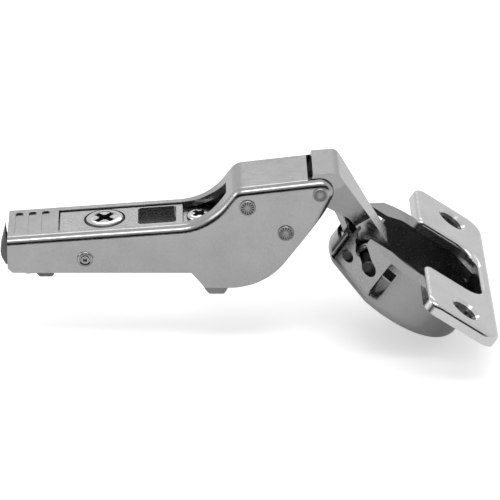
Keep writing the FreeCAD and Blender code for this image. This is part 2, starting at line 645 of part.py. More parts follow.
# Carrier: inner channel that rests on the mounting plate, its pad seen in the arm's window
carrier = start("carrier", "seat")
side = sketch(carrier, "side", "XZ_Plane")
outline(side, [
    ("-Sizes.carrier_rear", "Sizes.carrier_sheet"),
    ("Sizes.carrier_front", "Sizes.carrier_sheet"),
    ("Sizes.carrier_front", "-Sizes.leg_depth"),
    ("Sizes.leg_rear", "-Sizes.leg_depth"),
    ("Sizes.leg_rear - Sizes.leg_slant", "-Sizes.carrier_depth"),
    ("-Sizes.carrier_rear + Sizes.carrier_corner", "-Sizes.carrier_depth"),
    ("-Sizes.carrier_rear", "-Sizes.carrier_depth + Sizes.carrier_corner"),
])
pad(carrier, side, "2 * " + CARRIER_HALF)
hollow = sketch(carrier, "hollow", "XZ_Plane")
outline(hollow, [
    ("-Sizes.carrier_rear - " + OVER, "0"),
    ("Sizes.carrier_front + " + OVER, "0"),
    ("Sizes.carrier_front + " + OVER, "-Sizes.leg_depth - " + OVER),
    ("-Sizes.carrier_rear - " + OVER, "-Sizes.leg_depth - " + OVER),
])
pocket(carrier, hollow, "2 * (" + CARRIER_HALF + " - Sizes.flange_sheet)")
relief = sketch(carrier, "relief", "XZ_Plane")
outline(relief, [
    ("-Sizes.carrier_rear - " + OVER, "-Sizes.seat_relief"),
    ("-Sizes.seat_rear", "-Sizes.seat_relief"),
    ("-Sizes.seat_rear", "Sizes.seat_relief"),
    ("-Sizes.carrier_rear - " + OVER, "Sizes.seat_relief"),
])
pocket(carrier, relief, "2 * (" + CARRIER_HALF + " - Sizes.flange_sheet)")
top = sketch(carrier, "pad", "XY_Plane", "Sizes.carrier_sheet / 2")
PAD_REAR = "(-(Sizes.window_rear - Sizes.seat_back) + Sizes.pad_gap)"
PAD_HALF = "(Sizes.window_half - Sizes.pad_gap)"
outline(top, [
    (PAD_REAR, "-" + PAD_HALF),
    ("Sizes.pad_front", "-" + PAD_HALF),
    ("Sizes.pad_front", PAD_HALF),
    (PAD_REAR, PAD_HALF),
])
PAD_TOP = STACK + " - Sizes.pad_sink"
pad(carrier, top, PAD_TOP + " - Sizes.carrier_sheet / 2", both=False)
soften(carrier, "pad_edge", "Sizes.pad_edge", level_at(PAD_TOP))
slot = sketch(carrier, "slot", "XY_Plane")
outline(slot, [
    ("Sizes.slot_rear", "-Sizes.slot_half"),
    ("Sizes.slot_front", "-Sizes.slot_half"),
    ("Sizes.slot_front", "Sizes.slot_half"),
    ("Sizes.slot_rear", "Sizes.slot_half"),
])
pocket(carrier, slot, "4 * Sizes.carrier_depth")


def slot_corner(middle, run, edge):
    # Upright edges in the corners of the slot
    side = abs(abs(middle.y) - value("Sizes.slot_half")) < NEAR
    along = value("Sizes.slot_rear") - CLOSE < middle.x < value("Sizes.slot_front") + CLOSE
    return side and along and abs(run.x) < NEAR < abs(run.z)


soften(carrier, "slot_corners", "Sizes.slot_corner", slot_corner)
well = sketch(carrier, "well", "XY_Plane", STACK + " + " + OVER)
disc(well, "-Sizes.cam_screw_place", "0", "Sizes.cam_head_radius + Sizes.side_gap")
pocket(carrier, well, STACK + " + " + OVER + " - Sizes.carrier_sheet - Sizes.carrier_gap", both=False)
holes = sketch(carrier, "holes", "XY_Plane")
disc(holes, "-Sizes.cam_screw_place", "0", "Sizes.cam_shank_radius + Sizes.play")
disc(holes, "Sizes.side_screw_place", "0", "Sizes.side_shank_radius + Sizes.play")
pocket(carrier, holes, "4 * Sizes.carrier_sheet")
pivot = sketch(carrier, "pivot", "XZ_Plane")
CATCH_DX = "(Sizes.seat_back - Sizes.catch_back)"
CATCH_DZ = "(" + PIN_Z + " - Sizes.catch_down)"
CATCH_X = "(" + CATCH_DX + " * cos(Sizes.rear_slope) + " + CATCH_DZ + " * sin(Sizes.rear_slope))"
CATCH_Z = "(" + CATCH_DZ + " * cos(Sizes.rear_slope) - " + CATCH_DX + " * sin(Sizes.rear_slope))"
disc(pivot, CATCH_X, CATCH_Z, "Sizes.catch_pin_radius")
pocket(carrier, pivot, "Sizes.arm_width")


def screw(label, profile, recess_top, span):
    # Screw turned about its own axis, with a cross recess set on the diagonal in its head
    body = start(label, "seat")
    art = sketch(body, "half", "XZ_Plane")
    outline(art, profile)
    turned(body, art)
    cross = sketch(body, "recess", "XY_Plane", recess_top)
    eighth = FreeCAD.Rotation(FreeCAD.Vector(0, 0, 1), 45)
    cross.AttachmentOffset = FreeCAD.Placement(cross.AttachmentOffset.Base, eighth)
    arm_half = "(Sizes.recess_width / 2)"
    reach = "(" + span + " / 2)"
    outline(cross, [
        ("-" + arm_half, "-" + reach),
        (arm_half, "-" + reach),
        (arm_half, "-" + arm_half),
        (reach, "-" + arm_half),
        (reach, arm_half),
        (arm_half, arm_half),
        (arm_half, reach),
        ("-" + arm_half, reach),
        ("-" + arm_half, arm_half),
        ("-" + reach, arm_half),
        ("-" + reach, "-" + arm_half),
        ("-" + arm_half, "-" + arm_half),
    ])
    return body, cross


def shift(body, place_along):
    # Move a piece along the carrier
    turn = FreeCAD.Rotation(FreeCAD.Vector(0, 1, 0), 1)
    body.Placement = FreeCAD.Placement(FreeCAD.Vector(0, 0, 0), turn)
    body.setExpression("Placement.Rotation.Angle", "-Sizes.rear_slope")
    body.setExpression("Placement.Base.x", place_along + " * cos(Sizes.rear_slope)")
    body.setExpression("Placement.Base.z", place_along + " * sin(Sizes.rear_slope)")


HEAD_LOW = "(Sizes.carrier_sheet + Sizes.carrier_gap)"
SIDE_HEAD_TOP = HEAD_LOW + " + Sizes.side_head_height"
depth, cross = screw("depth_screw", [
    ("0", "-Sizes.cam_thickness - Sizes.side_gap"),
    ("Sizes.cam_shank_radius", "-Sizes.cam_thickness - Sizes.side_gap"),
    ("Sizes.cam_shank_radius", HEAD_LOW),
    ("Sizes.cam_head_radius", HEAD_LOW),
    ("Sizes.cam_head_radius", "Sizes.cam_head_top - Sizes.cam_edge_height"),
    ("Sizes.cam_head_radius - Sizes.cam_edge_width", "Sizes.cam_head_top"),
    ("0", "Sizes.cam_head_top"),
], "Sizes.cam_head_top", "Sizes.recess_span")
pocket(depth, cross, "Sizes.cam_recess_depth", both=False)
shift(depth, "-Sizes.cam_screw_place")
side_screw, cross = screw("side_screw", [
    ("0", "-Sizes.side_shank_length"),
    ("Sizes.side_shank_radius - Sizes.side_tip", "-Sizes.side_shank_length"),
    ("Sizes.side_shank_radius", "-Sizes.side_shank_length + Sizes.side_tip"),
    ("Sizes.side_shank_radius", HEAD_LOW),
    ("Sizes.side_head_radius", HEAD_LOW),
    ("Sizes.side_head_radius", SIDE_HEAD_TOP + " - Sizes.side_edge_height"),
    ("Sizes.side_head_radius - Sizes.side_edge_width", SIDE_HEAD_TOP),
    ("0", SIDE_HEAD_TOP),
], SIDE_HEAD_TOP, "Sizes.side_recess_span")
pocket(side_screw, cross, "Sizes.side_recess_depth", both=False)
shift(side_screw, "Sizes.side_screw_place")

# Cam riveted under the depth screw
cam = start("depth_cam", "seat")
art = sketch(cam, "cam", "XY_Plane", "-Sizes.side_gap - Sizes.cam_thickness")
disc(art, "Sizes.cam_throw", "0", "Sizes.cam_radius")
disc(art, "0", "0", "Sizes.cam_shank_radius")
pad(cam, art, "Sizes.cam_thickness", both=False)
shift(cam, "-Sizes.cam_screw_place")

# Front hook between the carrier's legs
hook = start("front_hook", "arm")
art = sketch(hook, "side", "XZ_Plane")
outline(art, [
    ("-Sizes.hook_rear", "-Sizes.hook_top"),
    ("-Sizes.hook_front", "-Sizes.hook_top"),
    ("-Sizes.hook_front", "-Sizes.belly_depth"),
    ("-Sizes.hook_front - Sizes.hook_slant", "-Sizes.hook_bottom"),
    ("-Sizes.hook_rear + Sizes.hook_slant", "-Sizes.hook_bottom"),
    ("-Sizes.hook_rear", "-Sizes.belly_depth"),
])
pad(hook, art, "2 * (" + CARRIER_HALF + " - Sizes.flange_sheet)")

# Rear catch: sprung lever with a nose, and its release button
catch = start("rear_catch", "arm")
art = sketch(catch, "bar", "XZ_Plane")
TAIL_AT = ("-Sizes.catch_tail_back", "-Sizes.catch_tail_down")
bar(art, TAIL_AT, CATCH_AT, "Sizes.catch_bar")
pad(catch, art, "2 * Sizes.catch_half")
art = sketch(catch, "ring", "XZ_Plane")
disc(art, "-Sizes.catch_back", "-Sizes.catch_down", "Sizes.catch_ring")
pad(catch, art, "2 * Sizes.catch_half")
art = sketch(catch, "nose", "XZ_Plane")
outline(art, [
    ("-Sizes.nose_rear", "-Sizes.catch_tail_down + Sizes.catch_bar / 2"),
    ("-Sizes.nose_front", "-Sizes.catch_tail_down + Sizes.catch_bar / 2"),
    ("-Sizes.nose_front", "-Sizes.nose_bottom + Sizes.nose_edge"),
    ("-Sizes.nose_front - Sizes.nose_edge", "-Sizes.nose_bottom"),
    ("-Sizes.nose_rear + Sizes.nose_slant", "-Sizes.nose_bottom"),
    ("-Sizes.nose_rear", "-Sizes.nose_bottom + Sizes.nose_slant"),
])
pad(catch, art, "2 * Sizes.catch_half")
art = sketch(catch, "spring_slot", "XZ_Plane")
disc(art, "-Sizes.catch_back", "-Sizes.catch_down", "Sizes.catch_ring + Sizes.side_gap")
pocket(catch, art, "2 * Sizes.catch_slot_half")
art = sketch(catch, "bore", "XZ_Plane")
disc(art, "-Sizes.catch_back", "-Sizes.catch_down", "Sizes.catch_pin_radius + Sizes.play")
pocket(catch, art, "4 * Sizes.catch_half")
button = start("release_button", "arm")
art = sketch(button, "side", "XZ_Plane")
outline(art, [
    ("-Sizes.button_back + Sizes.button_top_in", "-Sizes.button_top"),
    ("-Sizes.button_back", "-Sizes.button_crest"),
    ("-Sizes.button_back + Sizes.button_side_in", "-Sizes.button_bottom + Sizes.button_side_up"),
    ("-Sizes.button_back + Sizes.button_end_in", "-Sizes.button_bottom"),
    ("-Sizes.catch_tail_back - Sizes.catch_bar", "-Sizes.button_bottom"),
    ("-Sizes.catch_tail_back - Sizes.catch_bar", "-Sizes.catch_tail_down + Sizes.catch_bar"),
    ("-Sizes.button_back + Sizes.button_back_in", "-Sizes.button_top - Sizes.button_back_down"),
])
pad(button, art, "2 * Sizes.button_half")

# Outer link: pressed channel from the front pin into the cup
link = start("outer_link", "link")
BLANK_END = "(" + LINK_X + " + 2 * Sizes.link_tip_ear)"
TRIM_LOW = "-4 * Sizes.web_offset"
TRIM_HIGH = "4 * Sizes.web_offset"
TRIM_END = "(" + BLANK_END + " + " + OVER + ")"
plan = sketch(link, "plan", "XY_Plane", "-2 * Sizes.link_ear")
outline(plan, [
    ("-2 * Sizes.link_ear", "-Sizes.link_half"),
    ("Sizes.taper_start", "-Sizes.link_half"),
    ("Sizes.taper_end", "-Sizes.link_tip_half"),
    (BLANK_END, "-Sizes.link_tip_half"),
    (BLANK_END, "Sizes.link_tip_half"),
    ("Sizes.taper_end", "Sizes.link_tip_half"),
    ("Sizes.taper_start", "Sizes.link_half"),
    ("-2 * Sizes.link_ear", "Sizes.link_half"),
])
pad(link, plan, "Sizes.web_offset + 2 * Sizes.link_ear", both=False)
trim = sketch(link, "trim", "XZ_Plane")
outline(trim, [
    (TRIM_LOW, TRIM_LOW),
    (TRIM_END, TRIM_LOW),
    (TRIM_END, TRIM_HIGH),
    (TRIM_LOW, TRIM_HIGH),
])
TIP_ACROSS = "Sizes.link_tip_ear * Sizes.tip_across"
TIP_UP = "Sizes.link_tip_ear * Sizes.tip_up"
outline(trim, [
    ("-Sizes.cap_back", "Sizes.cap_low"),
    ("-Sizes.cap_corner", "Sizes.web_offset"),
    ("Sizes.web_tip", "Sizes.web_offset"),
    (LINK_X + " + " + TIP_ACROSS, LINK_Z + " + " + TIP_UP),
    (LINK_X, LINK_Z + " - Sizes.link_tip_ear"),
    (LINK_X + " - " + TIP_UP, LINK_Z + " - " + TIP_ACROSS),
    ("Sizes.edge_three", "Sizes.edge_three_high"),
    ("Sizes.edge_two", "Sizes.edge_two_high"),
    ("Sizes.edge_one", "-Sizes.edge_one_low"),
    ("Sizes.link_ear * Sizes.ear_foot_across", "-Sizes.link_ear * Sizes.ear_foot_down"),
    ("-Sizes.link_ear * Sizes.ear_foot_across", "-Sizes.link_ear * Sizes.ear_foot_down"),
    ("-Sizes.link_ear * Sizes.ear_back_across", "-Sizes.link_ear * Sizes.ear_back_down"),
])
pocket(link, trim, "4 * Sizes.link_half")
rounding = sketch(link, "ears", "XZ_Plane")
disc(rounding, LINK_X, LINK_Z, "Sizes.link_tip_ear")
pad(link, rounding, "2 * Sizes.link_tip_half")
soften(link, "cap", "Sizes.cap_radius", across_at("-Sizes.cap_corner", "Sizes.web_offset"))
inside = sketch(link, "inside", "XY_Plane", "Sizes.web_offset - Sizes.link_sheet")
INNER_HALF = "(Sizes.link_half - Sizes.flange_sheet)"
INNER_TIP = "(Sizes.link_tip_half - Sizes.flange_sheet)"
outline(inside, [
    ("Sizes.taper_start - Sizes.cap_step", "-" + INNER_HALF),
    ("Sizes.taper_start", "-" + INNER_HALF),
    ("Sizes.taper_end", "-" + INNER_TIP),
    (BLANK_END, "-" + INNER_TIP),
    (BLANK_END, INNER_TIP),
    ("Sizes.taper_end", INNER_TIP),
    ("Sizes.taper_start", INNER_HALF),
    ("Sizes.taper_start - Sizes.cap_step", INNER_HALF),
])
pocket(link, inside, "6 * Sizes.link_ear", both=False)
under = sketch(link, "under_cap", "XZ_Plane")
outline(under, [
    ("-Sizes.cap_corner + Sizes.cap_wall", "Sizes.web_offset - Sizes.link_sheet"),
    ("Sizes.taper_start", "Sizes.web_offset - Sizes.link_sheet"),
    ("Sizes.taper_start", "-3 * Sizes.link_ear"),
    ("-3 * Sizes.link_ear", "-3 * Sizes.link_ear"),
    ("-3 * Sizes.link_ear", "Sizes.cap_low - Sizes.cap_step"),
    ("-Sizes.cap_back + Sizes.cap_rear_wall", "Sizes.cap_low - Sizes.cap_step"),
])
pocket(link, under, "2 * " + INNER_HALF)
bores = sketch(link, "bores", "XZ_Plane")
disc(bores, "0", "0", "Sizes.front_pin_radius + Sizes.play")
disc(bores, LINK_X, LINK_Z, "Sizes.stub_radius + Sizes.play")
pocket(link, bores, "4 * Sizes.link_half")

# Inner link: strap with a knuckle in the cup and a slotted end in the arm
strap = start("inner_link", "arm")
AXLE_AT = ("-Sizes.axle_back", "-Sizes.axle_down")
MID_AT = ("-Sizes.slot_mid_back", "-Sizes.slot_mid_down")
HIGH_AT = ("-Sizes.slot_high_back", "-Sizes.slot_high_down")
TURN_AT = ("-Sizes.slot_turn_back", "-Sizes.slot_turn_down")
END_AT = ("-Sizes.slot_end_back", "-Sizes.slot_end_down")
KNUCKLE_AT = (INNER_X, INNER_Z)
ELBOW_AT = ("Sizes.elbow_reach", "-Sizes.elbow_down")
KNEE_AT = ("Sizes.knee_reach", "-Sizes.knee_down")
HIP_AT = ("Sizes.hip_reach", "-Sizes.hip_down")
SHOULDER_AT = ("Sizes.shoulder_reach", "-Sizes.shoulder_down")
SLOT_RADIUS = "(Sizes.axle_radius + Sizes.slot_play)"
FRAME_RADIUS = "(Sizes.axle_radius + Sizes.slot_play + Sizes.slot_wall)"
spans = [
    ("slot_low", AXLE_AT, MID_AT, FRAME_RADIUS),
    ("slot_middle", MID_AT, HIGH_AT, FRAME_RADIUS),
    ("slot_high", HIGH_AT, TURN_AT, FRAME_RADIUS),
    ("slot_end", TURN_AT, END_AT, FRAME_RADIUS),
    ("shoulder", HIGH_AT, SHOULDER_AT, "Sizes.strap_radius"),
    ("hip", SHOULDER_AT, HIP_AT, "Sizes.strap_radius"),
    ("knee", HIP_AT, KNEE_AT, "Sizes.strap_radius"),
    ("elbow", KNEE_AT, ELBOW_AT, "Sizes.strap_radius"),
    ("wrist", ELBOW_AT, KNUCKLE_AT, "Sizes.strap_radius"),
]
for name, first, last, radius in spans:
    art = sketch(strap, name, "XZ_Plane")
    bar(art, first, last, radius)
    pad(strap, art, "2 * Sizes.strap_half")
art = sketch(strap, "knuckle", "XZ_Plane")
disc(art, INNER_X, INNER_Z, "Sizes.knuckle")
pad(strap, art, "2 * Sizes.strap_half")
for name, first, last, radius in spans[:4]:
    art = sketch(strap, name + "_cut", "XZ_Plane")
    bar(art, first, last, SLOT_RADIUS)
    pocket(strap, art, "4 * Sizes.strap_half")
art = sketch(strap, "bore", "XZ_Plane")
disc(art, INNER_X, INNER_Z, "Sizes.cross_pin_radius + Sizes.play")
pocket(strap, art, "4 * Sizes.strap_half")

# Cup plate: pressed wings with turned-down edges and two countersunk holes
plate = start("cup_plate", "cup")
art = sketch(plate, "plan", "XY_Plane", "-Sizes.plate_height")
outline(art, [
    ("-Sizes.plate_rear", "-" + PLATE_HALF),
    ("Sizes.plate_front", "-" + PLATE_HALF),
    ("Sizes.plate_front", PLATE_HALF),
    ("-Sizes.plate_rear", PLATE_HALF),
    ("-Sizes.plate_rear", "Sizes.mouth_half"),
    ("Sizes.mouth_front", "Sizes.mouth_half"),
    ("Sizes.mouth_front", "-Sizes.mouth_half"),
    ("-Sizes.plate_rear", "-Sizes.mouth_half"),
])
pad(plate, art, "Sizes.plate_height", both=False)


def upright_at(x, y):
    # Test for an upright edge at a place in the plan and at its mirror image
    def test(middle, run, edge):
        level = abs(run.x) + abs(run.y) < NEAR < abs(run.z)
        return level and math.hypot(middle.x - value(x), abs(middle.y) - value(y)) < CLOSE
    return test


soften(plate, "front_corners", "Sizes.plate_corner", upright_at("Sizes.plate_front", PLATE_HALF))
soften(plate, "lobe_corners", "Sizes.lobe_corner", upright_at("-Sizes.plate_rear", PLATE_HALF))
soften(plate, "mouth_corners", "Sizes.mouth_corner", upright_at("Sizes.mouth_front", "Sizes.mouth_half"))
soften(plate, "inner_corners", "Sizes.lobe_corner / 2", upright_at("-Sizes.plate_rear", "Sizes.mouth_half"))
soften(plate, "rim", "Sizes.plate_edge", level_at("0"))
art = sketch(plate, "pressing", "XY_Plane", "-Sizes.plate_height")
PRESS_NEAR = "(Sizes.mouth_half + Sizes.plate_sheet)"
for wing in ("-", ""):
    outline(art, [
        ("-Sizes.plate_rear + Sizes.plate_sheet", wing + PRESS_NEAR),
        ("Sizes.plate_front - Sizes.plate_sheet - Sizes.press_corner", wing + PRESS_NEAR),
        ("Sizes.plate_front - Sizes.plate_sheet", wing + "(" + PRESS_NEAR + " + Sizes.press_corner)"),
        ("Sizes.plate_front - Sizes.plate_sheet", wing + "(" + PLATE_HALF + " - Sizes.plate_corner)"),
        ("Sizes.plate_front - Sizes.plate_corner", wing + "(" + PLATE_HALF + " - Sizes.plate_sheet)"),
        ("-Sizes.plate_rear + Sizes.lobe_corner", wing + "(" + PLATE_HALF + " - Sizes.plate_sheet)"),
        ("-Sizes.plate_rear + Sizes.plate_sheet", wing + "(" + PLATE_HALF + " - Sizes.lobe_corner)"),
    ])
    disc(art, "0", wing + "Sizes.screw_half", BOSS_RADIUS)
pocket(plate, art, "Sizes.plate_height - Sizes.plate_sheet", both=False, turned=True)
art = sketch(plate, "screws", "XY_Plane")
disc(art, "0", "-Sizes.screw_half", "Sizes.screw_radius")
disc(art, "0", "Sizes.screw_half", "Sizes.screw_radius")
pocket(plate, art, "4 * Sizes.plate_height")


def screw_rim(middle, run, edge):
    # Upper rims of the two screw holes
    ring = edge.Curve.TypeId == "Part::GeomCircle" and abs(edge.Curve.Center.z) < NEAR
    return ring and abs(edge.Curve.Radius - value("Sizes.screw_radius")) < NEAR


tip = plate.Tip
rims = edge_names(plate, screw_rim)
sink = plate.newObject("PartDesign::Chamfer", "cup_plate_sink")
sink.Base = (tip, rims)
sink.setExpression("Size", "Sizes.screw_sink")
doc.recompute()


def pot_line(art, inset_by):
    # Round outline with a flat on each rear side
    radius = "(Sizes.pot_radius - " + inset_by + ")"
    chord = "(Sizes.pot_radius * cos(Sizes.flat_spread) - " + inset_by + ")"
    spread = math.degrees(math.acos(value(chord) / value(radius)))
    spread_text = "(acos(" + chord + " / " + radius + ") / 1 deg)"
    middle = FreeCAD.Vector(value("-Sizes.pot_centre"), 0, 0)
    place_angle = value("Sizes.flat_place")
    circle = Part.Circle(middle, FreeCAD.Vector(0, 0, 1), value(radius))
    ahead = math.radians(place_angle - spread)
    behind = math.radians(place_angle + spread)
    major = art.addGeometry(Part.ArcOfCircle(circle, -ahead, ahead))
    minor = art.addGeometry(Part.ArcOfCircle(circle, behind, 2 * math.pi - behind))
    spots = [circle.value(turn) for turn in (-ahead, ahead, behind, -behind)]
    upper = art.addGeometry(Part.LineSegment(spots[1], spots[2]))
    lower = art.addGeometry(Part.LineSegment(spots[3], spots[0]))
    for left, right in ((major, upper), (upper, minor), (minor, lower), (lower, major)):
        art.addConstraint(Sketcher.Constraint("Coincident", left, 2, right, 1))
    art.addConstraint(Sketcher.Constraint("Coincident", major, 3, minor, 3))
    art.addConstraint(Sketcher.Constraint("Equal", major, minor))
    bind(art, "DistanceX", major, 3, "-Sizes.pot_centre")
    bind(art, "DistanceY", major, 3, "0")
    mark = art.addConstraint(Sketcher.Constraint("Radius", major, value(radius)))
    art.setExpression("Constraints[%d]" % mark, radius)
    high = radius + " * sin(Sizes.flat_place - " + spread_text + ")"
    low = radius + " * sin(Sizes.flat_place + " + spread_text + ")"
    bind(art, "DistanceY", major, 2, high)
    bind(art, "DistanceY", major, 1, "-" + high)
    bind(art, "DistanceY", minor, 1, low)
    bind(art, "DistanceY", minor, 2, "-" + low)


# Cup pot: drawn pot with a lip round its mouth, a gate for the links and pin holes
pot = start("cup_pot", "cup")
art = sketch(pot, "plan", "XY_Plane", "-Sizes.pot_depth")
pot_line(art, "0")
pad(pot, art, "Sizes.pot_depth - Sizes.plate_height", both=False)
soften(pot, "floor_round", "Sizes.pot_round", level_at("-Sizes.pot_depth"))
art = sketch(pot, "hollow", "XY_Plane", "-Sizes.plate_height - Sizes.pot_sheet")
pot_line(art, "Sizes.pot_sheet")
pocket(pot, art, "Sizes.pot_depth - Sizes.plate_height - 2 * Sizes.pot_sheet", both=False)
FLOOR_TOP = "-Sizes.pot_depth + Sizes.pot_sheet"
soften(pot, "floor_inside", "Sizes.pot_round - Sizes.pot_sheet", level_at(FLOOR_TOP))


def wall_sketch(label, way):
    # Sketch through the pot's axis, square to the wall at the louvre on one side
    art = sketch(pot, label, "YZ_Plane")
    turn = FreeCAD.Rotation(FreeCAD.Vector(0, 1, 0), 1)
    art.AttachmentOffset = FreeCAD.Placement(FreeCAD.Vector(0, 0, 0), turn)
    art.setExpression("AttachmentOffset.Rotation.Angle", way + "Sizes.louvre_turn")
    art.setExpression("AttachmentOffset.Base.z", "-Sizes.pot_centre")
    return art


INWARD = "(Sizes.pot_radius - Sizes.louvre_press"
for label, way in (("far", ""), ("near", "-")):
    art = wall_sketch("ramp_" + label, way)
    outline(art, [
        (way + "(Sizes.pot_radius - Sizes.pot_sheet / 2)", "-Sizes.louvre_foot"),
        (way + INWARD + " - Sizes.ramp_sheet)", "-Sizes.louvre_low"),
        (way + "(Sizes.pot_radius - Sizes.pot_sheet / 2)", "-Sizes.louvre_low"),
    ])
    pad(pot, art, "Sizes.louvre_width")
    art = wall_sketch("louvre_" + label, way)
    outline(art, [
        (way + "(Sizes.pot_radius + Sizes.louvre_press / 3)", "-Sizes.louvre_foot"),
        (way + INWARD + ")", "-Sizes.louvre_low"),
        (way + INWARD + " * 2)", "-Sizes.louvre_low"),
        (way + INWARD + " * 2)", "-Sizes.louvre_high"),
        (way + "(Sizes.pot_radius + Sizes.louvre_press / 3)", "-Sizes.louvre_high"),
    ])
    pocket(pot, art, "Sizes.louvre_width")
art = sketch(pot, "mouth", "XY_Plane")
outline(art, [
    ("-Sizes.lip_rear", "-Sizes.gate_half"),
    ("-Sizes.lip_rear + Sizes.lip_corner", "-Sizes.lip_half"),
    ("-Sizes.lip_turn_rear", "-Sizes.lip_half"),
    ("-Sizes.lip_turn_front", "-Sizes.lip_front_half"),
    ("Sizes.mouth_front - Sizes.mouth_corner", "-Sizes.lip_front_half"),
    ("Sizes.mouth_front", "-Sizes.lip_front_half + Sizes.mouth_corner"),
    ("Sizes.mouth_front", "Sizes.lip_front_half - Sizes.mouth_corner"),
    ("Sizes.mouth_front - Sizes.mouth_corner", "Sizes.lip_front_half"),
    ("-Sizes.lip_turn_front", "Sizes.lip_front_half"),
    ("-Sizes.lip_turn_rear", "Sizes.lip_half"),
    ("-Sizes.lip_rear + Sizes.lip_corner", "Sizes.lip_half"),
    ("-Sizes.lip_rear", "Sizes.gate_half"),
])
pocket(pot, art, "Sizes.plate_height + 2 * Sizes.pot_sheet", both=False)
GATE_FRONT = "-Sizes.pot_centre - Sizes.pot_radius + Sizes.gate_reach"
GATE_CUT = "Sizes.gate_reach + " + OVER
art = sketch(pot, "gate", "YZ_Plane")
outline(art, [
    ("-Sizes.gate_half", "-Sizes.gate_depth"),
    ("-Sizes.slit_half", "-Sizes.gate_depth"),
    ("-Sizes.slit_half", "-Sizes.slit_depth"),
    ("Sizes.slit_half", "-Sizes.slit_depth"),
    ("Sizes.slit_half", "-Sizes.gate_depth"),
    ("Sizes.gate_half", "-Sizes.gate_depth"),
    ("Sizes.gate_half", "0"),
    ("-Sizes.gate_half", "0"),
])
art.setExpression("AttachmentOffset.Base.z", GATE_FRONT)
pocket(pot, art, GATE_CUT, both=False)
art = sketch(pot, "relief", "XZ_Plane")
INSIDE_REAR = "(-Sizes.pot_centre - Sizes.pot_radius + Sizes.pot_sheet)"
outline(art, [
    (INSIDE_REAR + " - Sizes.slit_relief", "-Sizes.relief_depth"),
    (INSIDE_REAR + " + Sizes.pot_sheet", "-Sizes.relief_depth"),
    (INSIDE_REAR + " + Sizes.pot_sheet", "-Sizes.slit_depth + Sizes.pot_sheet"),
    (INSIDE_REAR + " - Sizes.slit_relief", "-Sizes.slit_depth + Sizes.pot_sheet"),
])
pocket(pot, art, "2 * Sizes.slit_half")
art = sketch(pot, "wall_slots", "YZ_Plane")
for wing in ("-", ""):
    outline(art, [
        (wing + "Sizes.groove_near", "-Sizes.groove_low"),
        (wing + "Sizes.groove_far", "-Sizes.groove_low"),
        (wing + "Sizes.groove_far", "-Sizes.groove_high"),
        (wing + "Sizes.groove_near", "-Sizes.groove_high"),
    ])
art.setExpression("AttachmentOffset.Base.z", GATE_FRONT)
pocket(pot, art, GATE_CUT, both=False)
art = sketch(pot, "side_holes", "XZ_Plane")
disc(art, "-" + OUTER_BACK, "-Sizes.outer_pivot_down", "Sizes.stub_radius")
disc(art, "-" + INNER_BACK, "-Sizes.inner_pivot_down", "Sizes.cross_pin_radius")
KEY_TOP = ("-Sizes.key_rear", "-Sizes.key_high")
KEY_END = ("-Sizes.key_front", "-Sizes.key_low")
bar(art, KEY_TOP, KEY_END, "Sizes.key_radius")
pocket(pot, art, "3 * Sizes.pot_radius")


def rod(label, radius, near, far, back, down):
    # Plain pin across the cup between two distances from the mid-plane
    body = start(label, "cup")
    art = sketch(body, "round", "XZ_Plane", near)
    disc(art, "-" + back, "-" + down, radius)
    pad(body, art, far + " - (" + near + ")", both=False)
    return body


OUTER_PIVOT = (OUTER_BACK, "Sizes.outer_pivot_down")
INNER_PIVOT = (INNER_BACK, "Sizes.inner_pivot_down")
rod("stub_pin_near", "Sizes.stub_radius", "Sizes.stub_inner", "Sizes.stub_outer", *OUTER_PIVOT)
rod("stub_pin_far", "Sizes.stub_radius", "-Sizes.stub_outer", "-Sizes.stub_inner", *OUTER_PIVOT)
rod("cross_pin", "Sizes.cross_pin_radius", "-Sizes.cross_pin_half", "Sizes.cross_pin_half", *INNER_PIVOT)


def coil(label, frame, x, z, y, pitch, turns, radius, wire, way):
    # Close-wound spring about an axis across the hinge; way is its side of the mid-plane
    thing = doc.addObject("Part::Feature", label)
    thing.Label = label
    upright = FreeCAD.Rotation(FreeCAD.Vector(1, 0, 0), -90 * way)
    lay = FreeCAD.Placement(FreeCAD.Vector(x, y * way, z), upright)
    path = Part.makeHelix(pitch, pitch * turns, radius)
    path.Placement = lay
    ring = Part.Circle(FreeCAD.Vector(radius, 0, 0), FreeCAD.Vector(0, 1, 0), wire / 2).toShape()
    ring.Placement = lay
    thing.Shape = Part.Wire(path.Edges).makePipeShell([Part.Wire([ring])], True, True)
    place(thing, frame)
    return thing


for name, way in (("cup_spring_near", -1), ("cup_spring_far", 1)):
    coil(name, "cup", -value(OUTER_BACK), -value("Sizes.outer_pivot_down"),
         value("Sizes.spring_start"), value("Sizes.spring_pitch"), value("Sizes.spring_turns"),
         value("Sizes.spring_coil"), value("Sizes.spring_wire"), way)
coil("catch_spring", "arm", -value("Sizes.catch_back"), -value("Sizes.catch_down"),
     -value("Sizes.catch_start"), value("Sizes.catch_pitch"), value("Sizes.catch_turns"),
     value("Sizes.catch_coil"), value("Sizes.catch_wire"), 1)

# Every piece is checked before any is written
doc.recompute()
nodes = [one for one in doc.Objects if one.TypeId in ("PartDesign::Body", "Part::Feature")]
for one in doc.Objects:
    if "Invalid" in one.State or "Error" in one.State:
        raise RuntimeError(one.Name + " failed: " + str(one.State))
for one in nodes:
    if one.Shape.isNull() or not one.Shape.isValid() or len(one.Shape.Solids) != 1:
        raise RuntimeError(one.Label + " is not one valid solid")
os.makedirs("parts", exist_ok=True)
for one in nodes:
    one.Shape.exportStep("parts/" + one.Label + ".step")
    print(one.Label, round(one.Shape.Volume, 2), one.Shape.BoundBox)
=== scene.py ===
import json
import math

import bmesh
import bpy
from bpy.props import FloatProperty, FloatVectorProperty, IntProperty, PointerProperty
from mathutils import Matrix, Quaternion, Vector


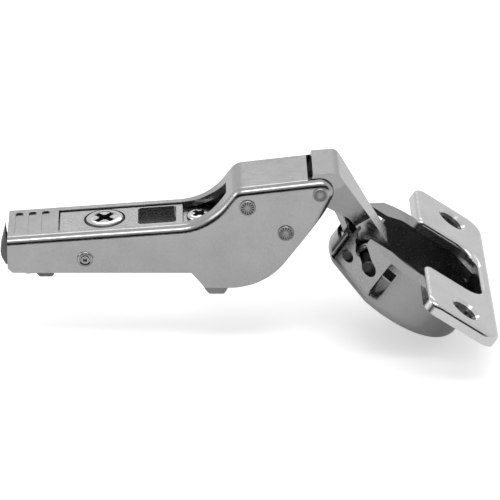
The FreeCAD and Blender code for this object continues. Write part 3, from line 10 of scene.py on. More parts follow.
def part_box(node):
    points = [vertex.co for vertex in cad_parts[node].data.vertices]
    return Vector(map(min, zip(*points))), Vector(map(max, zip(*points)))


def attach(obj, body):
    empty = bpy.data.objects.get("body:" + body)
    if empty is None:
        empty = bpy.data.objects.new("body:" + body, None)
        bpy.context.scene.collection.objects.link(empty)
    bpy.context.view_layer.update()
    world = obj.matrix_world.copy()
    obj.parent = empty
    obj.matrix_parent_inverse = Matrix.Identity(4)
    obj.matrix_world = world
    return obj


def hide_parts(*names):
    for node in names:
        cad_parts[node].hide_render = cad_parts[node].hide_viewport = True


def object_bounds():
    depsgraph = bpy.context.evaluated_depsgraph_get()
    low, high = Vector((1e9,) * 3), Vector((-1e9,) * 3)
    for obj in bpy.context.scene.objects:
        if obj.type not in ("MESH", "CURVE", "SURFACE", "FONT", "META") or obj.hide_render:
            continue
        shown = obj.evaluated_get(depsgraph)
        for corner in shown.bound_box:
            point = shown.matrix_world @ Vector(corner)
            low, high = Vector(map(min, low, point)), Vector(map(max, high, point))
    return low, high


bl_info = {
    "name": "Cranked cup hinge",
    "version": (1, 0, 0),
    "blender": (4, 5, 0),
    "location": "View3D > Sidebar > Hinge",
    "description": "Finishes the packed cup hinge with its pins, screws, springs and plated metal",
    "category": "Object",
}

# Every length is in metres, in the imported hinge's own frame
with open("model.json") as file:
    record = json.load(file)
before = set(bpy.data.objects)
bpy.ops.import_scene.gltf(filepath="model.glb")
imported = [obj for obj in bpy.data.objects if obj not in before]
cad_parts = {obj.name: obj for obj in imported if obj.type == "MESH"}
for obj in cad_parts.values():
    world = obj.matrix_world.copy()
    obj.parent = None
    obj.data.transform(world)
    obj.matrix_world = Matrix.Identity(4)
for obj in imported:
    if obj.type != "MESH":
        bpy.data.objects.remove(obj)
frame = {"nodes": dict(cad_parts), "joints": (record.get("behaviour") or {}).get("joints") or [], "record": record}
NODES = frame["nodes"]
CAD_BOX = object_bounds()
MM = 0.001
WELD = 0.0005 * MM
OVER = 0.5 * MM
SHEET = 1.4 * MM

# Places taken from the hinge itself
MOUNTS = {mount["name"]: mount for mount in frame["record"]["mounts"]}
JOINTS = {joint["name"]: Vector(joint["pos_m"]) for joint in frame["joints"]}
REAR_SLOPE = math.asin(MOUNTS["clip_seat"]["axis"][0])
SEAT_TURN = Matrix.Rotation(-REAR_SLOPE, 4, "Y")
POT_PLACE = Vector(MOUNTS["cup_body"]["pos_m"])
POT_RADIUS = MOUNTS["cup_body"]["dims"]["r_mm"] * MM
CUP_TILT = math.asin(-MOUNTS["cup_body"]["axis"][0])
POT_FRAME = Matrix.Translation(POT_PLACE) @ Matrix.Rotation(CUP_TILT, 4, "Y")
SCREW_PLACE = Vector(MOUNTS["screw_near"]["pos_m"])
LIE_ACROSS = Matrix.Rotation(math.pi / 2, 4, "X")


def middle(node):
    low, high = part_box(node)
    return (low + high) / 2


def extent(node):
    low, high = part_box(node)
    return high - low


def screw_size(node, place):
    # Radius, foot and top of a screw, measured from its own axis
    back = place.inverted()
    spots = [back @ vertex.co for vertex in NODES[node].data.vertices]
    heights = [spot.z for spot in spots]
    return max(math.hypot(spot.x, spot.y) for spot in spots), min(heights), max(heights)


WALL = extent("arm_shell").y / 2
INNER_WALL = WALL - SHEET

# How much slimmer the shank of an arm pin is than its head
ARM_PINS = (("front_pin", 0.12 * MM), ("spacer_rivet", 0.3 * MM), ("link_axle", 0.6 * MM))
CUP_PINS = ("stub_pin_near", "stub_pin_far", "cross_pin")

# End of the catch's pin, in millimetres: radius, and depth below the end
EYELET = (
    (0, 0.9), (0.34, 0.8), (0.46, 0.15), (0.6, 0.05), (0.85, 0.05), (0.98, 0.35), (1.12, 0.35), (1.22, 0.08),
    (1.36, 0), (1.52, 0.02),
)

# Crowns of the screw heads, in millimetres: in from the edge, and down from the top
DEPTH_CROWN = ((0, 0.75), (0.12, 0.45), (0.4, 0.2), (0.9, 0.05), (1.5, 0), (1.6, 0), (1.55, 0.08))
SIDE_CROWN = ((0, 0.5), (0.15, 0.25), (0.45, 0.08), (0.8, 0))

# Soft room: level before and after each ramp, and where the ramp starts and stops
FRONT_RAMP = (0.0, 1.02, -0.60, -0.36)
HIGH_RAMP = (0.0, 0.8, 0.46, 0.70)
SEEN_LEVEL = 1.5

# Soft lamps: name, place, width, depth and power
AIM = Vector((0.04, 0, 0))
LAMPS = (
    ("Top softbox", Vector((0.05, -0.30, 0.75)), 0.6, 0.20, 1.5),
    ("Back softbox", Vector((0.2, 0.9, 0.75)), 0.9, 0.3, 1.6),
    ("Side softbox", Vector((-0.75, -0.1, 0.45)), 0.4, 0.4, 0.8),
)


# Settings


def length(name, note, millimetres):
    return FloatProperty(name=name, description=note, default=millimetres * MM, unit="LENGTH", precision=5)


def whole_number(name, note, value):
    return IntProperty(name=name, description=note, default=value, min=2, max=60)


def amount(name, note, value):
    return FloatProperty(name=name, description=note, default=value, min=0)


def angle(name, note, degrees):
    return FloatProperty(name=name, description=note, default=math.radians(degrees), subtype="ANGLE")


def colour(name, note, value):
    return FloatVectorProperty(
        name=name, description=note, default=value, subtype="COLOR", size=3, min=0, max=1)


class HingeSizes(bpy.types.PropertyGroup):
    head_ribs: whole_number("Head ribs", "Ribs of the star pressed into a pin's head", 14)
    star_hub: length("Star hub", "Radius of the hub of the star", 0.55)
    rim_width: length("Rim width", "Plain rim round the star", 0.34)
    rib_width: length("Rib width", "Width of one rib", 0.22)
    rib_height: length("Rib height", "How far a rib stands out of its dish", 0.16)
    pin_edge: length("Pin edge", "Round on the edges of the catch's pin", 0.08)
    head_seat: length("Head seat", "Height of the underside of the screws' heads over the seat", 1.55)
    depth_shank: length("Depth screw shank", "Radius of the depth screw's shank", 1.8)
    recess_span: length("Recess span", "Tip to tip of the depth screw's cross recess", 5.6)
    recess_wing: length("Recess wing", "Width of a wing of that recess", 1.5)
    recess_depth: length("Recess depth", "Depth of that recess", 1.5)
    side_shank: length("Side screw shank", "Radius of the side screw over its thread", 1.9)
    side_span: length("Side recess span", "Tip to tip of the side screw's cross recess", 3.9)
    side_depth: length("Side recess depth", "Depth of that recess", 1.2)
    screw_tip: length("Screw tip", "Slope at the side screw's tip", 0.5)
    thread_pitch: length("Thread pitch", "Pitch of the side screw's thread", 0.7)
    thread_height: length("Thread height", "Height of the thread's ridge", 0.3)
    thread_start: length("Thread start", "Plain length at the side screw's tip", 0.9)
    thread_end: length("Thread end", "Depth below the seat where the thread ends", 0.5)
    button_grooves: whole_number("Button grooves", "Grip grooves across the release button", 6)
    groove_radius: length("Groove radius", "Radius of a grip groove", 0.24)
    button_crest: length("Button crest", "Height of the lowest groove over the button's foot", 3.6)
    button_lean: length("Button lean", "How far the button leans in over its grooves", 1.1)
    slot_back: length("Slot back", "From the stub pin to the far end of its slot, towards the arm", 3.5)
    slot_rise: length("Slot rise", "How much higher the far end of the slot is than the pin", 2.35)
    slot_half: length("Slot half width", "Half width of the slot over the stub pin", 1.2)
    hook_edge: length("Hook edge", "Round along the front hook's edges", 0.24)
    hook_tip: length("Hook tip", "How far the front hook's tip reaches below the plain hook", 1.6)
    hook_slant: length("Hook slant", "Slant of the hook's tip", 0.8)


class HingeFinish(bpy.types.PropertyGroup):
    sheet_colour: colour("Sheet colour", "Satin nickel of the pressed sheet", (0.43, 0.43, 0.43))
    plate_colour: colour("Plate colour", "Bright nickel of the cup's plate", (0.66, 0.66, 0.66))
    pot_colour: colour("Pot colour", "Drawn metal of the cup's pot", (0.34, 0.34, 0.34))
    pin_colour: colour("Pin colour", "Matt steel of the arm's pins", (0.35, 0.35, 0.35))
    screw_colour: colour("Screw colour", "Bright plate of the screws", (0.68, 0.68, 0.68))
    catch_colour: colour("Catch colour", "Dark steel of the catch", (0.16, 0.16, 0.16))
    plastic_colour: colour("Plastic colour", "Grained plastic of the release button", (0.15, 0.15, 0.152))
    spring_colour: colour("Spring colour", "Oiled spring wire", (0.17, 0.168, 0.162))
    grain: amount("Grain", "Strength of the sheet's rolled grain", 0.35)


class HingeStage(bpy.types.PropertyGroup):
    floor_size: length("Floor size", "Side of the pale floor", 5000)
    floor_gap: length("Floor gap", "How far the floor lies below the hinge", 1.5)
    floor_colour: colour("Floor colour", "Colour of the pale floor", (0.93, 0.93, 0.93))
    floor_lift: amount("Floor lift", "White added to the floor as the camera sees it", 0.45)
    mirror_lift: amount("Mirror lift", "White added to the floor as the metal mirrors it", 0.02)
    room_light: amount("Room light", "Strength of the soft room", 0.75)
    lamp_light: amount("Lamp light", "Strength of the lamps", 1.0)
    lens: amount("Lens", "Focal length in millimetres", 278.208)
    azimuth: angle("Azimuth", "Camera's turn round the hinge", -1.5673)
    elevation: angle("Elevation", "Camera's height above the horizon", 26.3824)
    roll: angle("Roll", "Camera's roll", 0.7475)
    distance: length("Distance", "Camera to the point it looks at", 866.065)
    target: FloatVectorProperty(
        name="Target", description="Point the camera looks at", size=3, precision=6,
        default=(0.027111, 0.0, -0.005574))


# Mesh helpers


def add_object(name, mesh):
    thing = bpy.data.objects.new(name, mesh)
    bpy.context.scene.collection.objects.link(thing)
    return thing


def shade(mesh, smooth_angle=math.radians(35)):
    # Smooth the faces and keep the edges sharper than the angle
    form = bmesh.new()
    form.from_mesh(mesh)
    for face in form.faces:
        face.smooth = True
    for edge in form.edges:
        if len(edge.link_faces) == 2:
            edge.smooth = edge.calc_face_angle(0) < smooth_angle
    form.to_mesh(mesh)
    form.free()


def join(meshes, name, materials):
    form = bmesh.new()
    for mesh in meshes:
        form.from_mesh(mesh)
    joined = bpy.data.meshes.new(name)
    form.to_mesh(joined)
    form.free()
    for material in materials:
        joined.materials.append(material)
    return joined


def revolve(profile, steps=64):
    # Closed turned piece about Z from (radius, height) points that start and end on the axis
    form = bmesh.new()
    rings = []
    for radius, height in profile:
        if radius < 1e-9:
            rings.append([form.verts.new((0, 0, height))])
            continue
        ring = []
        for number in range(steps):
            turn = 2 * math.pi * number / steps
            ring.append(form.verts.new((radius * math.cos(turn), radius * math.sin(turn), height)))
        rings.append(ring)
    for low, high in zip(rings, rings[1:]):
        for number in range(steps):
            after = (number + 1) % steps
            if len(low) == 1:
                form.faces.new((low[0], high[after], high[number]))
            elif len(high) == 1:
                form.faces.new((low[number], low[after], high[0]))
            else:
                form.faces.new((low[number], low[after], high[after], high[number]))
    bmesh.ops.recalc_face_normals(form, faces=form.faces)
    mesh = bpy.data.meshes.new("turned")
    form.to_mesh(mesh)
    form.free()
    return mesh


def mirrored(half):
    # Whole outline of a turned piece from its upper half, which starts on the axis
    return [(radius, -height) for radius, height in half] + list(reversed(half))


def prism(outline, low, high, taper=1.0):
    # Straight or tapered prism along Z over a flat outline, narrower at its low end
    form = bmesh.new()
    foot = [form.verts.new((x * taper, y * taper, low)) for x, y in outline]
    head = [form.verts.new((x, y, high)) for x, y in outline]
    sides = len(outline)
    for number in range(sides):
        after = (number + 1) % sides
        form.faces.new((foot[number], foot[after], head[after], head[number]))
    form.faces.new(list(reversed(foot)))
    form.faces.new(head)
    bmesh.ops.recalc_face_normals(form, faces=form.faces)
    mesh = bpy.data.meshes.new("prism")
    form.to_mesh(mesh)
    form.free()
    return mesh


def settled(thing):
    # Plain mesh of an object with its modifiers; the object goes
    graph = bpy.context.evaluated_depsgraph_get()
    made = bpy.data.meshes.new_from_object(thing.evaluated_get(graph))
    bpy.data.objects.remove(thing)
    return made


def copy_of(node):
    # Welded copy of a node's mesh
    form = bmesh.new()
    form.from_mesh(NODES[node].data)
    bmesh.ops.remove_doubles(form, verts=form.verts, dist=WELD)
    mesh = bpy.data.meshes.new(node + "_copy")
    form.to_mesh(mesh)
    form.free()
    return mesh


def bar_outline(first, last, half, steps=10):
    # Bar with round ends between two flat points
    along = (last - first).normalized()
    side = Vector((-along.y, along.x))
    outline = []
    for spot, way in ((last, 1), (first, -1)):
        for number in range(steps + 1):
            turn = math.pi * number / steps - math.pi / 2
            move = along * math.cos(turn) + side * math.sin(turn)
            outline.append(spot + way * half * move)
    return outline


def cross_outline(span, wing, heel=0.72, corner=0.95):
    # Cross on the diagonal, with its inner corners filled out from the wings' heels
    half = wing / 2
    reach = span / 2
    root = wing * heel
    quarter = [(reach, -half), (reach, half), (root, half), (root * corner, root * corner), (half, root)]
    outline = []
    for number in range(4):
        turn = Matrix.Rotation(math.pi / 2 * number + math.pi / 4, 2)
        outline += [turn @ Vector(spot) for spot in quarter]
    return outline


def painted(mesh, materials, index):
    # All faces in one of several materials
    mesh.materials.clear()
    for material in materials:
        mesh.materials.append(material)
    for face in mesh.polygons:
        face.material_index = index
    return mesh


def changed(mesh, kind, **settings):
    # Mesh after one modifier
    blank = add_object("blank", mesh)
    step = blank.modifiers.new("Change", kind)
    for name, value in settings.items():
        setattr(step, name, value)
    return settled(blank)


def cut(mesh, cutter):
    tool = add_object("tool", cutter)
    made = changed(mesh, "BOOLEAN", operation="DIFFERENCE", solver="EXACT", object=tool)
    bpy.data.objects.remove(tool)
    return made


def evened(mesh):
    # Large faces keep their own direction beside small rounds
    shade(mesh)
    return changed(mesh, "WEIGHTED_NORMAL", mode="FACE_AREA", weight=50, keep_sharp=True)


def finish_piece(name, mesh, material, body, replaced):
    # Material is None where the mesh already has its own
    mesh = evened(mesh)
    if material:
        painted(mesh, [material], 0)
    piece = add_object(name, mesh)
    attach(piece, body)
    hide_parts(*replaced)


# Geometry Nodes


def node_tree(name, inputs):
    tree = bpy.data.node_groups.new(name, "GeometryNodeTree")
    tree.interface.new_socket("Geometry", in_out="OUTPUT", socket_type="NodeSocketGeometry")
    for label, kind, default in inputs:
        item = tree.interface.new_socket(label, in_out="INPUT", socket_type="NodeSocket" + kind)
        item.default_value = default
    tree.interface.new_socket("Material", in_out="INPUT", socket_type="NodeSocketMaterial")
    return tree, tree.nodes.new("NodeGroupInput"), tree.nodes.new("NodeGroupOutput")


def link(tree, source, output, target, socket):
    tree.links.new(source.outputs[output], target.inputs[socket])


def end_tree(tree, start, last, output, end):
    # Real geometry with its material
    real = tree.nodes.new("GeometryNodeRealizeInstances")
    paint = tree.nodes.new("GeometryNodeSetMaterial")
    link(tree, last, output, real, "Geometry")
    link(tree, real, "Geometry", paint, "Geometry")
    link(tree, start, "Material", paint, "Material")
    link(tree, paint, "Geometry", end, "Geometry")


def maths(tree, operation, *values):
    node = tree.nodes.new("ShaderNodeMath")
    node.operation = operation
    for number, item in enumerate(values):
        if isinstance(item, tuple):
            tree.links.new(item[0].outputs[item[1]], node.inputs[number])
        else:
            node.inputs[number].default_value = item
    return node


def star_ribs_tree():
    # Ribs that radiate over a round face
    tree, start, end = node_tree("Star ribs", [
        ("Ribs", "Int", 20),
        ("Inner radius", "Float", 0.5 * MM),
        ("Outer radius", "Float", 1.5 * MM),
        ("Rib width", "Float", 0.1 * MM),
        ("Rib height", "Float", 0.05 * MM),
    ])
    reach = maths(tree, "SUBTRACT", (start, "Outer radius"), (start, "Inner radius"))
    total = maths(tree, "ADD", (start, "Outer radius"), (start, "Inner radius"))
    centre = maths(tree, "MULTIPLY", (total, 0), 0.5)
    circle = tree.nodes.new("GeometryNodeMeshCircle")
    link(tree, start, "Ribs", circle, "Vertices")
    link(tree, centre, 0, circle, "Radius")
    size = tree.nodes.new("ShaderNodeCombineXYZ")
    link(tree, reach, 0, size, "X")
    link(tree, start, "Rib width", size, "Y")
    link(tree, start, "Rib height", size, "Z")
    rib = tree.nodes.new("GeometryNodeMeshCube")
    link(tree, size, "Vector", rib, "Size")
    index = tree.nodes.new("GeometryNodeInputIndex")
    step = maths(tree, "DIVIDE", 2 * math.pi, (start, "Ribs"))
    turn = maths(tree, "MULTIPLY", (index, 0), (step, 0))
    spin = tree.nodes.new("ShaderNodeCombineXYZ")
    link(tree, turn, 0, spin, "Z")
    copies = tree.nodes.new("GeometryNodeInstanceOnPoints")
    link(tree, circle, "Mesh", copies, "Points")
    link(tree, rib, "Mesh", copies, "Instance")
    link(tree, spin, "Vector", copies, "Rotation")
    end_tree(tree, start, copies, "Instances", end)
    return tree


def thread_tree():
    # Ridge of a thread: a small round section swept along a helix about Z
    tree, start, end = node_tree("Thread ridge", [
        ("Steps a turn", "Int", 48),
        ("Turns", "Float", 3.0),
        ("Helix radius", "Float", 2.0 * MM),
        ("Height", "Float", 2.0 * MM),
        ("Ridge radius", "Float", 0.3 * MM),
        ("Sides", "Int", 12),
    ])
    helix = tree.nodes.new("GeometryNodeCurveSpiral")
    link(tree, start, "Steps a turn", helix, "Resolution")
    link(tree, start, "Turns", helix, "Rotations")
    link(tree, start, "Helix radius", helix, "Start Radius")
    link(tree, start, "Helix radius", helix, "End Radius")
    link(tree, start, "Height", helix, "Height")
    ring = tree.nodes.new("GeometryNodeCurvePrimitiveCircle")
    link(tree, start, "Sides", ring, "Resolution")
    link(tree, start, "Ridge radius", ring, "Radius")
    sweep = tree.nodes.new("GeometryNodeCurveToMesh")
    link(tree, helix, "Curve", sweep, "Curve")
    link(tree, ring, "Curve", sweep, "Profile Curve")
    sweep.inputs["Fill Caps"].default_value = True
    end_tree(tree, start, sweep, "Mesh", end)
    return tree


def groove_tree():
    # Row of round bars along Z, each lying along X, that cut the grip grooves
    tree, start, end = node_tree("Grip grooves", [
        ("Grooves", "Int", 7),
        ("Spacing", "Float", 1.0 * MM),
        ("Length", "Float", 4.0 * MM),
        ("Radius", "Float", 0.25 * MM),
    ])
    offset = tree.nodes.new("ShaderNodeCombineXYZ")
    link(tree, start, "Spacing", offset, "Z")
    line = tree.nodes.new("GeometryNodeMeshLine")
    link(tree, start, "Grooves", line, "Count")
    link(tree, offset, "Vector", line, "Offset")
    bar = tree.nodes.new("GeometryNodeMeshCylinder")
    bar.inputs["Vertices"].default_value = 16
    link(tree, start, "Radius", bar, "Radius")
    link(tree, start, "Length", bar, "Depth")
    copies = tree.nodes.new("GeometryNodeInstanceOnPoints")
    copies.inputs["Rotation"].default_value = (0, math.pi / 2, 0)
    link(tree, line, "Mesh", copies, "Points")
    link(tree, bar, "Mesh", copies, "Instance")
    end_tree(tree, start, copies, "Instances", end)
    return tree


def grown(tree, values, material):
    # Plain mesh that a tree grows from the given sizes
    seed = add_object("seed", bpy.data.meshes.new("seed"))
    step = seed.modifiers.new("Nodes", "NODES")
    step.node_group = tree
    for item in tree.interface.items_tree:
        if item.in_out != "INPUT":
            continue
        if item.name == "Material":
            step[item.identifier] = material
        elif item.name in values:
            step[item.identifier] = values[item.name]
    return settled(seed)


# Shader groups


def shader_group(name, inputs, outputs):
    tree = bpy.data.node_groups.new(name, "ShaderNodeTree")
    for label, default in inputs:
        item = tree.interface.new_socket(label, in_out="INPUT", socket_type="NodeSocketFloat")
        item.default_value = default
    for label in outputs:
        tree.interface.new_socket(label, in_out="OUTPUT", socket_type="NodeSocketFloat")
    return tree, tree.nodes.new("NodeGroupInput"), tree.nodes.new("NodeGroupOutput")


def noise(tree, vector, scale, detail, rough=0.5):
    node = tree.nodes.new("ShaderNodeTexNoise")
    node.inputs["Detail"].default_value = detail
    node.inputs["Roughness"].default_value = rough
    tree.links.new(vector, node.inputs["Vector"])
    if isinstance(scale, tuple):
        tree.links.new(scale[0].outputs[scale[1]], node.inputs["Scale"])
    else:
        node.inputs["Scale"].default_value = scale
    return node


def grain_group():
    # Rolled and tumbled grain of plated sheet: fine specks, and streaks along the piece
    tree, start, end = shader_group("Sheet grain", [
        ("Speck size", 4500.0),
        ("Streak", 0.12),
        ("Blotch size", 160.0),
    ], ["Specks", "Streaks", "Blotches"])
    place = tree.nodes.new("ShaderNodeTexCoord")
    specks = noise(tree, place.outputs["Object"], (start, "Speck size"), 2.0, 0.6)
    stretch = tree.nodes.new("ShaderNodeCombineXYZ")
    stretch.inputs["Y"].default_value = 1.0
    stretch.inputs["Z"].default_value = 1.0
    link(tree, start, "Streak", stretch, "X")
    scaled = tree.nodes.new("ShaderNodeVectorMath")
    scaled.operation = "MULTIPLY"
    link(tree, place, "Object", scaled, 0)
    link(tree, stretch, "Vector", scaled, 1)
    streaks = noise(tree, scaled.outputs[0], 2600.0, 3.0, 0.55)
    blotches = noise(tree, place.outputs["Object"], (start, "Blotch size"), 3.0, 0.5)
    link(tree, specks, "Fac", end, "Specks")
    link(tree, streaks, "Fac", end, "Streaks")
    link(tree, blotches, "Fac", end, "Blotches")
    return tree


def wear_group():
    # Small rubs and pits: sparse marks from a stretched noise, cut by a threshold
    tree, start, end = shader_group("Small rubs", [
        ("Mark size", 700.0),
        ("Amount", 0.3),
    ], ["Mask"])
    place = tree.nodes.new("ShaderNodeTexCoord")
    marks = noise(tree, place.outputs["Object"], (start, "Mark size"), 4.0, 0.7)
    edge = maths(tree, "SUBTRACT", 1.0, (start, "Amount"))
    over = maths(tree, "SUBTRACT", (marks, 0), (edge, 0))
    sharp = maths(tree, "MULTIPLY", (over, 0), 6.0)
    sharp.use_clamp = True
    link(tree, sharp, 0, end, "Mask")
    return tree


def channel_shade_group():
    # Painted shade: faces that look towards the middle plane or down are darkened, as the channel's shade falls
    # there
    tree, start, end = shader_group("Painted shade in a channel", [("Half width", INNER_WALL)], ["Mask"])
    place = tree.nodes.new("ShaderNodeTexCoord")
    spot = tree.nodes.new("ShaderNodeSeparateXYZ")
    link(tree, place, "Object", spot, "Vector")
    facing = tree.nodes.new("ShaderNodeSeparateXYZ")
    link(tree, place, "Normal", facing, "Vector")
    share = maths(tree, "DIVIDE", (spot, "Y"), (start, "Half width"))
    inward = maths(tree, "MULTIPLY", (share, 0), (facing, "Y"))
    lowest = maths(tree, "MINIMUM", (inward, 0), (facing, "Z"))
    mask = maths(tree, "MULTIPLY", (lowest, 0), -1.0)
    mask.use_clamp = True
    link(tree, mask, 0, end, "Mask")
    return tree


def in_pot_frame(tree, place, output, corner):
    # A place or a direction as seen from the pot's own axis
    node = tree.nodes.new("ShaderNodeMapping")
    node.vector_type = "TEXTURE"
    node.inputs["Location"].default_value = corner
    node.inputs["Rotation"].default_value = (0, CUP_TILT, 0)
    link(tree, place, output, node, "Vector")
    parts = tree.nodes.new("ShaderNodeSeparateXYZ")
    link(tree, node, "Vector", parts, "Vector")
    return parts


def pot_shade_group():
    # Painted shade on the inner wall and floor of the drawn pot, which lie in the pot's shade
    tree, start, end = shader_group("Painted shade in the pot", [
        ("Radius", POT_RADIUS),
        ("Depth", 4 * MM),
    ], ["Mask"])
    place = tree.nodes.new("ShaderNodeTexCoord")
    spot = in_pot_frame(tree, place, "Object", POT_PLACE)
    facing = in_pot_frame(tree, place, "Normal", (0, 0, 0))
    across = maths(tree, "MULTIPLY", (spot, "X"), (facing, "X"))
    both = maths(tree, "MULTIPLY_ADD", (spot, "Y"), (facing, "Y"), (across, 0))
    outward = maths(tree, "DIVIDE", (both, 0), (start, "Radius"))
    wall = maths(tree, "MULTIPLY", (outward, 0), -1.6)
    deep = maths(tree, "DIVIDE", (spot, "Z"), (start, "Depth"))
    below = maths(tree, "MULTIPLY_ADD", (deep, 0), -1.0, -1.0)
    floor = maths(tree, "MULTIPLY", (below, 0), (facing, "Z"))
    mask = maths(tree, "MAXIMUM", (wall, 0), (floor, 0))
    mask.use_clamp = True
    link(tree, mask, 0, end, "Mask")
    return tree


def hole_shade_group():
    # Painted shade on the walls of the two cup screw holes
    tree, start, end = shader_group("Painted shade on screw hole walls", [
        ("Radius", 3.1 * MM),
        ("Half spacing", abs(SCREW_PLACE.y)),
    ], ["Mask"])
    place = tree.nodes.new("ShaderNodeTexCoord")
    spot = in_pot_frame(tree, place, "Object", (SCREW_PLACE.x, 0, SCREW_PLACE.z))
    facing = in_pot_frame(tree, place, "Normal", (0, 0, 0))
    side = maths(tree, "ABSOLUTE", (spot, "Y"))
    off = maths(tree, "SUBTRACT", (side, 0), (start, "Half spacing"))
    squared = maths(tree, "POWER", (off, 0), 2.0)
    far = maths(tree, "MULTIPLY_ADD", (spot, "X"), (spot, "X"), (squared, 0))
    root = maths(tree, "SQRT", (far, 0))
    near = maths(tree, "LESS_THAN", (root, 0), (start, "Radius"))
    tilt = maths(tree, "LESS_THAN", (facing, "Z"), 0.9)
    mask = maths(tree, "MULTIPLY", (near, 0), (tilt, 0))
    link(tree, mask, 0, end, "Mask")
    return tree


def ramp(tree, source, output, low, high, start=0.3, stop=0.7, smooth=False):
    # Level that goes from low to high while the source goes from start to stop
    node = tree.nodes.new("ShaderNodeMapRange")
    if smooth:
        node.interpolation_type = "SMOOTHSTEP"
    link(tree, source, output, node, "Value")
    node.inputs["From Min"].default_value = start
    node.inputs["From Max"].default_value = stop
    node.inputs["To Min"].default_value = low
    node.inputs["To Max"].default_value = high
    return node


def shaded(tint, share):
    return tuple(min(1, part * share) for part in tint[:3]) + (1,)


def blended(tree, factor, output, first, second):
    # Mix of two colours, each a plain colour or a node's result
    node = tree.nodes.new("ShaderNodeMix")
    node.data_type = "RGBA"
    link(tree, factor, output, node, "Factor")
    for name, item in (("A", first), ("B", second)):
        if isinstance(item, tuple):
            node.inputs[name].default_value = item
        else:
            link(tree, item, "Result", node, name)
    return node


def bumped(tree, source, output, shader, strength, distance):
    rise = tree.nodes.new("ShaderNodeBump")
    rise.inputs["Strength"].default_value = strength
    rise.inputs["Distance"].default_value = distance
    link(tree, source, output, rise, "Height")
    link(tree, rise, "Normal", shader, "Normal")


def new_material(name):
    material = bpy.data.materials.new(name)
    material.use_nodes = True
    return material.node_tree, material.node_tree.nodes["Principled BSDF"], material


def shader_node(tree, group):
    node = tree.nodes.new("ShaderNodeGroup")
    node.node_tree = group
    return node


def plated(name, tint, roughness, groups, grain=0.35, speck=4500.0, streak=1.0, rubs=0.3, bump=0.012 * MM,
           darker=0.8, shade_mask=None, shade_share=0.3):
    # Plated or bare metal with grain in its colour, gloss and surface; a shade mask, where given, paints shade
    # into the colour
    tree, shader, material = new_material(name)
    shader.inputs["Metallic"].default_value = 1.0
    skin = shader_node(tree, groups["grain"])
    skin.inputs["Speck size"].default_value = speck
    skin.inputs["Streak"].default_value = streak
    marks = shader_node(tree, groups["wear"])
    marks.inputs["Amount"].default_value = rubs
    specks = maths(tree, "MULTIPLY", (skin, "Specks"), 0.65)
    mottle = maths(tree, "MULTIPLY_ADD", (skin, "Blotches"), 0.35, (specks, 0))
    spread = ramp(tree, mottle, 0, 0.5 - grain, 0.5 + grain)
    tone = blended(tree, spread, "Result", shaded(tint, darker), shaded(tint, 2 - darker))
    faint = maths(tree, "MULTIPLY", (marks, "Mask"), 0.35)
    last = blended(tree, faint, 0, tone, shaded(tint, 0.72))
    # Painted shade: faces under the mask take a darker copy of the colour
    if shade_mask:
        shade_layer = shader_node(tree, groups[shade_mask])
        last = blended(tree, shade_layer, "Mask", last, shaded(tint, shade_share))
    link(tree, last, "Result", shader, "Base Color")
    gloss = ramp(tree, skin, "Streaks", roughness - 0.05, roughness + 0.06)
    matt = maths(tree, "MULTIPLY_ADD", (marks, "Mask"), 0.12, (gloss, "Result"))
    link(tree, matt, 0, shader, "Roughness")
    height = maths(tree, "MULTIPLY_ADD", (skin, "Streaks"), 0.4, (skin, "Specks"))
    bumped(tree, height, 0, shader, 0.5, bump)
    return material


def moulded(name, tint, groups):
    # Grained plastic
    tree, shader, material = new_material(name)
    skin = shader_node(tree, groups["grain"])
    skin.inputs["Speck size"].default_value = 2200.0
    skin.inputs["Streak"].default_value = 1.0
    tone = blended(tree, skin, "Blotches", shaded(tint, 0.7), shaded(tint, 1.8))
    link(tree, tone, "Result", shader, "Base Color")
    gloss = ramp(tree, skin, "Specks", 0.5, 0.7)
    link(tree, gloss, "Result", shader, "Roughness")
    bumped(tree, skin, "Specks", shader, 0.6, 0.04 * MM)
    return material


def finishes():
    # The hinge's finishes, made once and then found by name
    if "Satin nickel arm" in bpy.data.materials:
        return bpy.data.materials
    look = bpy.context.scene.hinge_finish
    sheet, catch = look.sheet_colour, look.catch_colour
    groups = {
        "grain": grain_group(), "wear": wear_group(), "channel": channel_shade_group(), "pot": pot_shade_group(),
        "holes": hole_shade_group(),
    }
    # The channel, pot and holes masks paint shade into these colours
    plated("Satin nickel arm", sheet, 0.20, groups, look.grain, streak=0.10, shade_mask="channel")
    plated("Satin nickel link", shaded(sheet, 0.98), 0.20, groups, look.grain, streak=0.5,
           shade_mask="channel", shade_share=0.45)
    plated("Satin nickel plate", look.plate_colour, 0.20, groups, look.grain, streak=0.5, bump=0.008 * MM,
           shade_mask="holes", shade_share=0.12)
    plated("Drawn nickel pot", look.pot_colour, 0.22, groups, look.grain, bump=0.007 * MM, darker=0.88,
           shade_mask="pot", shade_share=0.75)
    plated("Carrier nickel", sheet, 0.24, groups, look.grain, streak=0.2, shade_mask="channel", shade_share=0.22)
    plated("Hook nickel", shaded(sheet, 0.62), 0.30, groups, look.grain, streak=0.4)
    plated("Matt pin steel", look.pin_colour, 0.38, groups, 0.45, speck=6000.0, darker=0.6, bump=0.03 * MM)
    plated("Oiled pin steel", shaded(catch, 0.45), 0.40, groups, 0.45, speck=6000.0, darker=0.6,
           bump=0.03 * MM)
    plated("Bright screw plate", look.screw_colour, 0.14, groups, 0.2, rubs=0.26)
    plated("Recess shade", shaded(catch, 0.6), 0.45, groups, 0.3)
    plated("Dark catch steel", catch, 0.40, groups, 0.4, streak=0.4, bump=0.02 * MM)
    plated("Spring wire", look.spring_colour, 0.25, groups, 0.3)
    moulded("Grained plastic", look.plastic_colour, groups)
    return bpy.data.materials


def dress(node, material):
    mesh = NODES[node].data
    mesh.materials.clear()
    mesh.materials.append(material)


# Operators


